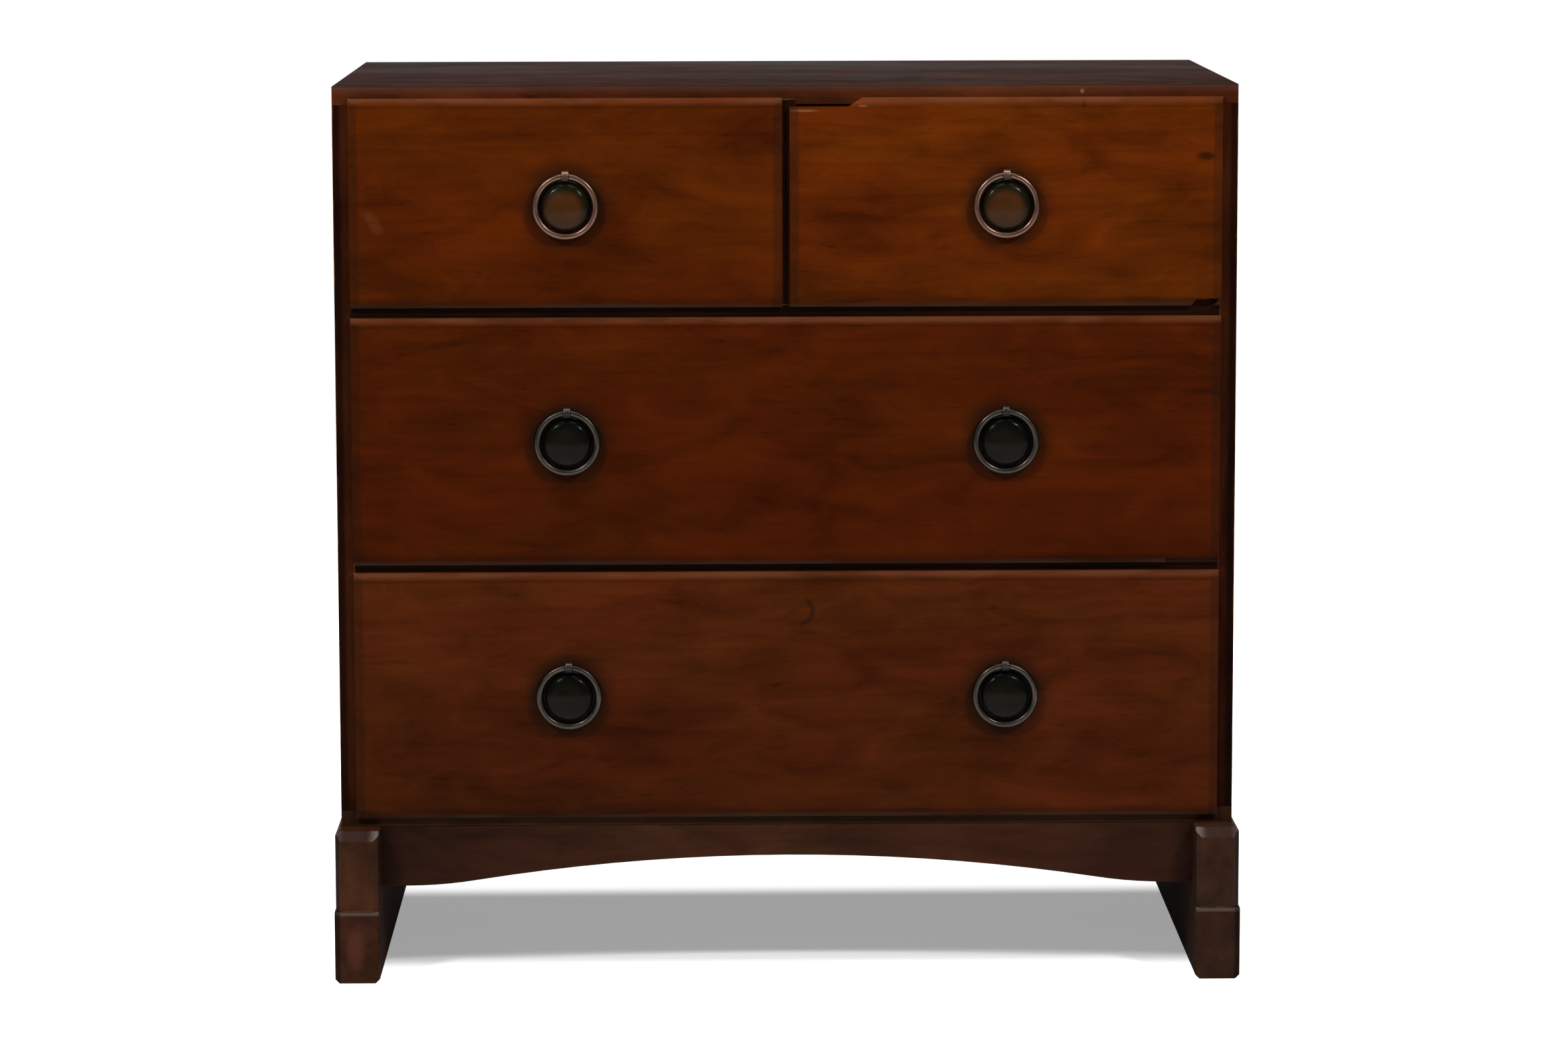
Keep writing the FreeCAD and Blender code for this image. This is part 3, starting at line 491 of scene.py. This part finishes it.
RIM_WIDTH = 0.045
RIM_HEIGHT = 0.0012
DOME_WIDTH = 0.043
DOME_WALL = 0.002
DOME_SHOULDER = 0.007
CROWN_SLOPE = math.radians(20)
STUD_WIDTH = 0.005
STUD_LENGTH = 0.0278
THREAD_PITCH = 0.0008
THREAD_DEPTH = 0.0003
THREAD_TURNS = 8
EYE_WIDTH = 0.007
EYE_GAP = 0.0005
EYE_WALL = 0.0018
EYE_ROOT = 0.0175
RING_STEPS = 144
WIRE_STEPS = 28
DOME_STEPS = 96
EYE_STEPS = 48
EYE_ROUNDING = 0.0009
RIM_ROUNDING = 0.0004


def mesh_piece(name, points, faces, body, material, nodes):
    """A closed mesh that rides on a body and stands for nodes of the frame."""
    mesh = bpy.data.meshes.new(name)
    mesh.from_pydata([tuple(point) for point in points], [], faces)
    mesh.materials.append(material)
    for face in mesh.polygons:
        face.use_smooth = True
    mesh.set_sharp_from_angle(angle=math.radians(35))
    piece = bpy.data.objects.new(name, mesh)
    bpy.context.scene.collection.objects.link(piece)
    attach(piece, body)
    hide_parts(*nodes)
    return piece


def turned_mesh(profile, steps):
    """Points and faces of a profile of (radius, depth) turned about the Y axis; its ends lie on the axis."""
    points = [Vector((0, profile[0][1], 0))]
    for radius, depth in profile[1:-1]:
        for step in range(steps):
            angle = 2 * math.pi * step / steps
            points.append(Vector((radius * math.cos(angle), depth, radius * math.sin(angle))))
    points.append(Vector((0, profile[-1][1], 0)))
    last = len(points) - 1
    faces = []
    for step in range(steps):
        after = (step + 1) % steps
        faces.append((0, 1 + step, 1 + after))
        faces.append((last, last - steps + after, last - steps + step))
        for row in range(len(profile) - 3):
            start = 1 + row * steps
            faces.append((start + step, start + steps + step, start + steps + after, start + after))
    return points, faces


def arc(centre, radius, start, end, steps):
    """Points of an arc in the profile plane, from one angle to another, measured from the radius axis."""
    angles = [start + (end - start) * step / steps for step in range(steps + 1)]
    return [(centre[0] + radius * math.cos(angle), centre[1] - radius * math.sin(angle)) for angle in angles]


def boss_profile():
    """The boss from the end of its stud to the top of its dome; depth is Y from the drawer's face."""
    thread_start = STUD_LENGTH - THREAD_TURNS * THREAD_PITCH
    stud = [(0, STUD_LENGTH)]
    for turn in range(THREAD_TURNS):
        depth = STUD_LENGTH - turn * THREAD_PITCH
        stud += [(STUD_WIDTH / 2 - THREAD_DEPTH, depth), (STUD_WIDTH / 2, depth - THREAD_PITCH / 2)]
    stud += [(STUD_WIDTH / 2, thread_start), (STUD_WIDTH / 2, 0)]
    rim_radius = RIM_WIDTH / 2
    rim = [(rim_radius, 0), (rim_radius, RIM_ROUNDING - RIM_HEIGHT),
           (rim_radius - RIM_ROUNDING, -RIM_HEIGHT)]
    wall_top = -RIM_HEIGHT - DOME_WALL
    wall = [(DOME_WIDTH / 2, -RIM_HEIGHT), (DOME_WIDTH / 2, wall_top / 2 - RIM_HEIGHT / 2)]
    shoulder_centre = (DOME_WIDTH / 2 - DOME_SHOULDER, wall_top)
    upright = math.pi / 2
    shoulder = arc(shoulder_centre, DOME_SHOULDER, 0, upright - CROWN_SLOPE, 14)
    crown_radius = shoulder_centre[0] / math.sin(CROWN_SLOPE) + DOME_SHOULDER
    sunk = crown_radius * math.cos(CROWN_SLOPE) - DOME_SHOULDER * math.cos(CROWN_SLOPE)
    crown = arc((0, wall_top + sunk), crown_radius, upright - CROWN_SLOPE, upright, 12)
    return stud + rim + wall + shoulder + crown[1:-1] + [(0, crown[-1][1])]


def make_pull(name, drawer, metal, eye_metal):
    """The boss and its eye, around the ring of the same name."""
    low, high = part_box(name + "_ring")
    centre = (low + high) / 2
    face_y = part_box(drawer + "_front")[0].y
    wire = high.y - low.y
    node = drawer + "_pulls"
    points, faces = turned_mesh(boss_profile(), DOME_STEPS)
    points = [point + Vector((centre.x, face_y, centre.z)) for point in points]
    mesh_piece(name + "_boss", points, faces, drawer, metal, [node])

    hinge = Vector((centre.x, centre.y, high.z - wire / 2))
    inner = wire / 2 + EYE_GAP
    points, faces = eye_mesh(inner, inner + EYE_WALL)
    points = [point + hinge for point in points]
    mesh_piece(name + "_eye", points, faces, drawer, eye_metal, [node])

    plate = inner + EYE_WALL
    low_corner = Vector((centre.x - EYE_WIDTH / 2, hinge.y + 0.6 * plate, centre.z + EYE_ROOT))
    high_corner = Vector((centre.x + EYE_WIDTH / 2, face_y, hinge.z + 0.75 * plate))
    points, faces = block_mesh(low_corner, high_corner)
    piece = mesh_piece(name + "_eye_root", points, faces, drawer, metal, [node])
    soften(piece, 0.0008, 3)


def eye_mesh(inner, outer):
    """A short thick tube along X with rounded rims."""
    section = []
    corners = ((1, outer, 0), (-1, outer, 90), (-1, inner, 180), (1, inner, 270))
    for side, radius, start in corners:
        inset = -EYE_ROUNDING if radius == outer else EYE_ROUNDING
        middle = (side * (EYE_WIDTH / 2 - EYE_ROUNDING), radius + inset)
        for step in range(5):
            angle = math.radians(start + 22.5 * step)
            section.append((middle[0] + EYE_ROUNDING * math.cos(angle),
                            middle[1] + EYE_ROUNDING * math.sin(angle)))
    points = []
    for step in range(EYE_STEPS):
        turn = 2 * math.pi * step / EYE_STEPS
        points += [Vector((x, radius * math.cos(turn), radius * math.sin(turn))) for x, radius in section]
    return points, wrapped_faces(EYE_STEPS, len(section))


def wrapped_faces(rows, columns):
    """Faces of a grid of points that closes on itself both ways."""
    faces = []
    for row in range(rows):
        for column in range(columns):
            next_row, next_column = (row + 1) % rows, (column + 1) % columns
            faces.append((row * columns + column, row * columns + next_column,
                          next_row * columns + next_column, next_row * columns + column))
    return faces


def block_mesh(low, high):
    """A box between two corners."""
    points = [Vector((x, y, z)) for z in (low.z, high.z) for y in (low.y, high.y) for x in (low.x, high.x)]
    faces = [(0, 2, 3, 1), (4, 5, 7, 6), (0, 1, 5, 4), (2, 6, 7, 3), (0, 4, 6, 2), (1, 3, 7, 5)]
    return points, faces


def make_ring(name, metal):
    """The swinging ring, in place of the node of the same name."""
    low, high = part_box(name + "_ring")
    centre = (low + high) / 2
    wire = (high.y - low.y) / 2
    radius = (high.x - low.x) / 2 - wire
    points = []
    for step in range(RING_STEPS):
        turn = 2 * math.pi * step / RING_STEPS
        out = Vector((math.cos(turn), 0, math.sin(turn)))
        for part in range(WIRE_STEPS):
            angle = 2 * math.pi * part / WIRE_STEPS
            points.append(centre + out * (radius + wire * math.cos(angle))
                          + Vector((0, wire * math.sin(angle), 0)))
    mesh_piece(name + "_ring_cast", points, wrapped_faces(RING_STEPS, WIRE_STEPS), name + "_ring", metal,
               [name + "_ring"])


# Rounding and dressing of the frame's nodes


def soften(thing, width, segments):
    """Rounds the arrises; doubled points go first, and flat faces are joined."""
    weld = thing.modifiers.new("weld", "WELD")
    weld.merge_threshold = 0.00001
    flat = thing.modifiers.new("flat", "DECIMATE")
    flat.decimate_type = "DISSOLVE"
    flat.angle_limit = math.radians(0.5)
    bevel = thing.modifiers.new("rounding", "BEVEL")
    bevel.width = width
    bevel.segments = segments
    bevel.limit_method = "ANGLE"
    bevel.angle_limit = math.radians(25)
    thing.modifiers.new("normals", "WEIGHTED_NORMAL")


def dress(node, material, rounding=0.0006, segments=2):
    """Gives a node its material and rounds its arrises."""
    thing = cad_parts[node]
    if not thing.material_slots:
        thing.data.materials.append(material)
    for slot in thing.material_slots:
        slot.material = material
    soften(thing, rounding, segments)


# Tones, dark and light, of each kind of board
FRONT_TONES = {
    "top_left_drawer": ((0.024, 0.0038, 0.0002), (0.104, 0.0180, 0.0008)),
    "top_right_drawer": ((0.032, 0.0052, 0.0002), (0.140, 0.0260, 0.0012)),
    "middle_drawer": ((0.020, 0.0032, 0.0002), (0.082, 0.0130, 0.0010)),
    "bottom_drawer": ((0.022, 0.0044, 0.0006), (0.090, 0.0180, 0.0034)),
}
SIDE = ((0.030, 0.0064, 0.0014), (0.108, 0.0250, 0.0070))
BOTTOM = ((0.010, 0.0045, 0.0018), (0.032, 0.0125, 0.0055))
RAIL = ((0.005, 0.0015, 0.0005), (0.020, 0.0050, 0.0015))
TOP = ((0.022, 0.0055, 0.0020), (0.092, 0.0200, 0.0062))
BASE = ((0.018, 0.0058, 0.0022), (0.064, 0.0215, 0.0092))
BASE_RIGHT = ((0.013, 0.0054, 0.0024), (0.046, 0.0195, 0.0098))
INNER = ((0.14, 0.080, 0.036), (0.42, 0.27, 0.145))
INNER_TINTS = {"back_board_lower": 0.80, "back_board_upper": 0.90, "base_back_rail": 0.70}

# Colours of wear, dirt and marks, and of painted shade, highlights and sheen
DUST_AND_SHEEN = (0.0473, 0.0428, 0.0411)
SOILED = (0.10, 0.062, 0.034)
GRIME_AND_SHADE = (0.010, 0.006, 0.003)
RUBBED = (0.15, 0.050, 0.020)
SOFT_EDGE = (0.080, 0.036, 0.022)
RAW = (0.20, 0.085, 0.035)
KNOT = (0.022, 0.0045, 0.0008)
FLECK = (0.055, 0.006, 0.002)
BRUISE = (0.12, 0.036, 0.020)
BARE = (0.15, 0.078, 0.036)
GLINT = (0.44, 0.37, 0.35)
BEVEL_SHADE = (0.024, 0.014, 0.019)
LOW_EDGE_HIGHLIGHT = (0.045, 0.026, 0.016)
WORN_AND_LIT_EDGE = (0.16, 0.14, 0.11)
SCRATCH = (0.19, 0.078, 0.024)

# Metals; the short drawers' pulls are browner than the long drawers', a painted reflection of brown
# surroundings
IRON = ((0.04, 0.033, 0.03), (0.10, 0.085, 0.07))
BRASS = ((0.10, 0.065, 0.025), (0.32, 0.22, 0.10))
BRONZES = {
    "brown": {
        "boss": ((0.040, 0.0140, 0.0038), (0.052, 0.0182, 0.0050)),
        "shine": 0.07,
        "shoulder": (0.0060, 0.0058, 0.0022),
        "underside": (0.040, 0.022, 0.013),
        "ring": ((0.119, 0.065, 0.044), (0.172, 0.092, 0.067)),
        "ring sides": (0.016, 0.007, 0.003),
    },
    "black": {
        "boss": ((0.0050, 0.0038, 0.0022), (0.0078, 0.0058, 0.0034)),
        "shine": 0.05,
        "shoulder": (0.0024, 0.0028, 0.0018),
        "underside": (0.014, 0.012, 0.010),
        "ring": ((0.034, 0.029, 0.024), (0.054, 0.043, 0.036)),
        "ring sides": (0.005, 0.004, 0.0025),
    },
}

# Depths and widths of what the layers cover
BEVEL_WIDTH = 0.0083
LOW_RIM_WIDTH = 0.0055
PLINTH_BEVEL = 0.0076
FOOT_BEVEL = 0.0034
FRONT_LIP = 0.0095
BOARD_FACE = 0.003
BLOCK_FACE = 0.004
POLISH_AND_SHADE_EDGE = 0.3655


def dress_case():
    boards = {
        "top_board": (TOP, ALONG_X, (0.1, -0.05, 0.62)),
        "side_left": (SIDE, ALONG_Z, (-0.30, 0.10, 0)),
        "side_right": (SIDE, ALONG_Z, (0.31, -0.05, 0)),
        "bottom_board": (BOTTOM, ALONG_X, (0.2, 0.0, 0.05)),
        "upper_rail": (RAIL, ALONG_X, (0.0, -0.15, 0.5)),
        "lower_rail": (RAIL, ALONG_X, (0.3, -0.13, 0.3)),
        "drawer_divider": (RAIL, ALONG_Z, (0.05, -0.15, 0)),
    }
    for node, (tone, along, heart) in boards.items():
        layers = ()
        rough, specular, worn = 0.5, 0.03, (RUBBED, 0.0022)
        if node == "top_board":
            # the top board: its front edge lighter towards the arris, partly as painted light; its top face
            # darker, under dust and a painted sheen
            layers = (on_front(node, BOARD_FACE, (soft_arris(node, 0.0105, SOFT_EDGE, 0.55),)),
                      spot(0.2617, 0.7940, 0.005, 0.006, RAW, 0.9), dusty_and_sheened_top(node, DUST_AND_SHEEN, 0.85, 0.6))
            rough, specular, worn = 0.8, 0.01, None
        if node == "bottom_board":
            worn = None
        if node.startswith("side"):
            low_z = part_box(node)[0].z
            layers = (on_front(node, BOARD_FACE, (fade(2, low_z, low_z + 0.05, 0.25, 0.5),
                                                  dark_ends(0.3900, 0.3955, 0.75))),)
            specular, worn = 0.02, (RUBBED, 0.0014)
        dress(node, wood(node, tone, along, heart, rough=rough, specular=specular, worn=worn,
                         layers=layers), 0.0006)


def dress_base():
    boards = {
        "plinth_left": (ALONG_Y, (-0.36, 0, 0.05)),
        "plinth_right": (ALONG_Y, (0.33, 0, 0.2)),
        "foot_left": (ALONG_Y, (-0.42, 0, -0.03)),
        "foot_right": (ALONG_Y, (0.36, 0, -0.05)),
        "apron": (ALONG_X, (0.1, -0.12, 0.04)),
    }
    for node, (along, heart) in boards.items():
        # the plinths' top bevel: painted shade along the middle, a painted highlight at its inner end
        layers = [top_bevel(node, PLINTH_BEVEL, BEVEL_SHADE, GLINT, 0.9)]
        if node.startswith("foot"):
            # the feet's top bevel: a light line of wear and painted highlight
            layers = [top_bevel(node, FOOT_BEVEL, WORN_AND_LIT_EDGE, WORN_AND_LIT_EDGE, 0.28)]
        if node == "foot_left":
            layers.append(spot(-0.386, 0.030, 0.022, 0.052, BRUISE, 0.4))
        layers.append(on_front(node, BLOCK_FACE, (dark_ends(0.3990, 0.4015, 0.65),)))
        worn, polish_and_shade_edge = (RUBBED, 0.0013), POLISH_AND_SHADE_EDGE
        if node == "apron":
            layers = [dark_ends(0.17, 0.35, 0.45), dark_ends(0.340, 0.365, 0.4)]
            worn, polish_and_shade_edge = None, None
        tone = BASE_RIGHT if node.endswith("right") else BASE
        dress(node, wood(node, tone, along, heart, rough=0.42, specular=0.04, contrast=0.8, grain=0.8,
                         worn=worn, layers=layers, dull_and_shaded_inside=polish_and_shade_edge), 0.0012, 3)


def dress_inside():
    along = dict.fromkeys(("lower_runner_left", "lower_runner_right", "upper_runner_left",
                           "upper_runner_right", "upper_runner_centre", "centre_guide"), ALONG_Y)
    along.update(dict.fromkeys(("back_board_lower", "back_board_middle", "back_board_upper",
                                "base_back_rail", "glue_blocks"), ALONG_X))
    along["foot_dowels"] = ALONG_Z
    for drawer in PULLS:
        for name, way in (("side_left", ALONG_Y), ("side_right", ALONG_Y), ("back", ALONG_X),
                          ("bottom", ALONG_X)):
            along["%s_%s" % (drawer, name)] = way
    for node, way in along.items():
        low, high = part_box(node)
        heart = (low + high) / 2 + Vector((0.05, 0.06, -0.08))
        tint = INNER_TINTS.get(node, 1.0)
        tone = [[tint * part for part in colour] for colour in INNER]
        dress(node, wood(node, tone, way, heart, contrast=0.3, grain=1.9, ring_width=0.006, rough=0.68,
                         specular=0.12, worn=(SOILED, 0.0030)), 0.0009)


def dress_fronts():
    marks = {
        "top_left_drawer": (
            spot(-0.3645, 0.6800, 0.0150, 0.036, SCRATCH, 0.14, tilt=-36, ragged=0.8),
            spot(-0.3119, 0.6585, 0.006, 0.006, FLECK, 0.7)),
        "top_right_drawer": (
            spot(0.3710, 0.7368, 0.024, 0.0110, KNOT, 0.85),
            spot(0.2628, 0.7840, 0.0050, 0.014, KNOT, 0.75),
            spot(0.0160, 0.7778, 0.034, 0.0032, RAW, 0.7),
            spot(0.0680, 0.7818, 0.011, 0.0032, RAW, 0.6)),
        "middle_drawer": (
            spot(0.2583, 0.5353, 0.012, 0.006, GRIME_AND_SHADE, 0.55),),
        "bottom_drawer": (
            crescent(0.0120, 0.3317, 0.011, 0.006, GRIME_AND_SHADE, 0.6, (1, -0.2)),
            spot(-0.2868, 0.3091, 0.016, 0.012, GRIME_AND_SHADE, 0.35)),
    }
    hearts = {"top_left_drawer": (-0.3, -0.10, 0.56), "top_right_drawer": (0.4, -0.12, 0.60),
              "middle_drawer": (-0.1, -0.11, 0.36), "bottom_drawer": (0.2, -0.12, 0.14)}
    for drawer, rings in PULLS.items():
        node = drawer + "_front"
        low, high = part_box(node)
        # each front brighter towards its top, as painted light
        layers = [fade(2, low.z, high.z, 0.88, 1.12), *marks[drawer]]
        # grime round each pull, with its painted shadow
        layers += [handled_grime_and_shadow(ring + "_ring", 0.8) for ring in rings]
        # dirt and painted shade on the end bevels; the lower bevel darker downwards as painted shade
        layers += [bevel_dirt_and_shade(node, BEVEL_WIDTH, 0.35), fade(2, low.z, low.z + 1.5 * BEVEL_WIDTH, 0.5, 1.0),
                   # the top rim: thin polish and painted light, darker below as painted shade; the bottom
                   # rim: a painted highlight along the arris
                   rubbed_and_lit_rim(high.z, BEVEL_WIDTH, 0.55, RUBBED, 0.22),
                   rubbed_and_lit_rim(low.z, LOW_RIM_WIDTH, 0.55, LOW_EDGE_HIGHLIGHT)]
        layers = [on_front(node, FRONT_LIP, layers, BARE)]
        dress(node, wood(node, FRONT_TONES[drawer], ALONG_X, hearts[drawer], contrast=0.75, grain=0.75,
                         ring_width=0.012, rough=0.4, specular=0.02, worn=(RUBBED, 0.0016), layers=layers),
              0.0008, 3)


def dress_metal():
    ring_metals, eye_metals = {}, {}
    for kind, bronze in BRONZES.items():
        ring_metals[kind] = old_metal("ring_" + kind, bronze["ring"], rough=0.26, metallic=0.8,
                                      grain=45.0, pitted=0.000006,
                                      painted_light=rubbed_and_shaded_wire(bronze["ring sides"]))
        eye_tone = [[1.15 * part for part in colour] for colour in bronze["ring"]]
        eye_metals[kind] = old_metal("eye_" + kind, eye_tone, rough=0.26, metallic=0.8,
                                     grain=45.0, pitted=0.000006,
                                     painted_light=shaded_eye(bronze["ring sides"]))
    iron = old_metal("iron", IRON, rough=0.5, metallic=0.8, grain=150.0)
    brass = old_metal("old_brass", BRASS, rough=0.35, metallic=1.0, grain=120.0)
    for drawer, pulls in PULLS.items():
        kind = "brown" if drawer.startswith("top") else "black"
        bronze = BRONZES[kind]
        for name in pulls:
            low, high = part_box(name + "_ring")
            boss = old_metal(name + "_bronze", bronze["boss"], rough=0.14, metallic=0.0, grain=60.0,
                             pitted=0.000003, specular=bronze["shine"],
                             painted_light=domed((low + high) / 2, bronze["shoulder"], bronze["underside"]))
            make_pull(name, drawer, boss, eye_metals[kind])
            make_ring(name, ring_metals[kind])
        dress(drawer + "_nuts", brass, 0.0004)
    dress("back_nails", iron, 0.0003)
    dress("base_screws", iron, 0.0002)


# Stage, light and camera


def make_stage():
    """The floor, its glow to the camera lowered under the chest as a painted shadow."""
    corners = [(x, y, 0) for x in (-FLOOR_HALF_WIDTH, FLOOR_HALF_WIDTH) for y in (FLOOR_FRONT, FLOOR_BACK)]
    mesh = bpy.data.meshes.new("stage")
    mesh.from_pydata(corners, [], [(0, 2, 3, 1)])
    stage = bpy.data.objects.new("stage", mesh)
    bpy.context.scene.collection.objects.link(stage)

    material = bpy.data.materials.new("stage")
    material.use_nodes = True
    material.node_tree.nodes.clear()
    graph = Graph(material.node_tree)
    middle = (0.0, (SHADE_FRONT + SHADE_BACK) / 2, 0.0)
    half = (SHADE_HALF_WIDTH, (SHADE_BACK - SHADE_FRONT) / 2, 0.0)
    offset = graph.vector("ABSOLUTE", graph.vector("SUBTRACT", graph.place(), middle))
    x, y = graph.split(graph.vector("SUBTRACT", offset, half))[:2]
    outside = graph.math("MAXIMUM", x, y)
    glow = graph.ramp(outside, -SHADE_EDGE, SHADE_EDGE, GLOW_UNDER, GLOW_AROUND)
    rays = graph.add("ShaderNodeLightPath").outputs
    seen = graph.math("ADD", rays["Is Camera Ray"], rays["Is Glossy Ray"])
    seen = graph.math("ADD", seen, rays["Is Transmission Ray"], clamp=True)
    paint = graph.add("ShaderNodeBsdfDiffuse", {"Color": (STAGE_GREY, STAGE_GREY, STAGE_GREY, 1.0)})
    light = graph.add("ShaderNodeEmission", {"Strength": graph.math("MULTIPLY", seen, glow)})
    both = graph.add("ShaderNodeAddShader", {0: paint.outputs[0], 1: light.outputs[0]})
    graph.give(graph.add("ShaderNodeOutputMaterial").inputs["Surface"], both.outputs[0])
    mesh.materials.append(material)


def make_world():
    """White past the stage, and a low plain fill for the object."""
    world = bpy.data.worlds.new("room")
    bpy.context.scene.world = world
    world.use_nodes = True
    world.node_tree.nodes.clear()
    graph = Graph(world.node_tree)
    seen = graph.add("ShaderNodeLightPath").outputs["Is Camera Ray"]
    sky = graph.add("ShaderNodeBackground", {"Color": (1, 1, 1, 1),
                                             "Strength": graph.ramp(seen, 0.0, 1.0, ROOM_LIGHT, 1.0)})
    graph.give(graph.add("ShaderNodeOutputWorld").inputs["Surface"], sky.outputs[0])


def make_lamps():
    for name, spot_place, aim, width, height, watts in LAMPS:
        lamp = bpy.data.lights.new(name, "AREA")
        lamp.shape = "RECTANGLE"
        lamp.size, lamp.size_y = width, height
        lamp.energy = watts
        light = bpy.data.objects.new(name, lamp)
        light.location = spot_place
        light.rotation_euler = (Vector(aim) - Vector(spot_place)).to_track_quat("-Z", "Y").to_euler()
        bpy.context.scene.collection.objects.link(light)


def make_camera():
    lens = bpy.data.cameras.new("camera")
    lens.sensor_fit = "HORIZONTAL"
    lens.sensor_width = SENSOR_WIDTH
    lens.lens = CAMERA_LENS
    lens.shift_y = CAMERA_SHIFT_Y
    lens.clip_end = 50
    camera = bpy.data.objects.new("camera", lens)
    level = Euler((math.radians(90 - CAMERA_DOWN), 0, math.radians(CAMERA_HEADING))).to_matrix()
    turn = level @ Matrix.Rotation(math.radians(-CAMERA_ROLL), 3, "Z")
    camera.matrix_world = Matrix.Translation(CAMERA_PLACE) @ turn.to_4x4()
    bpy.context.scene.collection.objects.link(camera)
    bpy.context.scene.camera = camera


make_camera()
dress_case()
dress_base()
dress_inside()
dress_fronts()
dress_metal()
make_stage()
make_world()
make_lamps()
bpy.context.scene.view_settings.view_transform = "Standard"
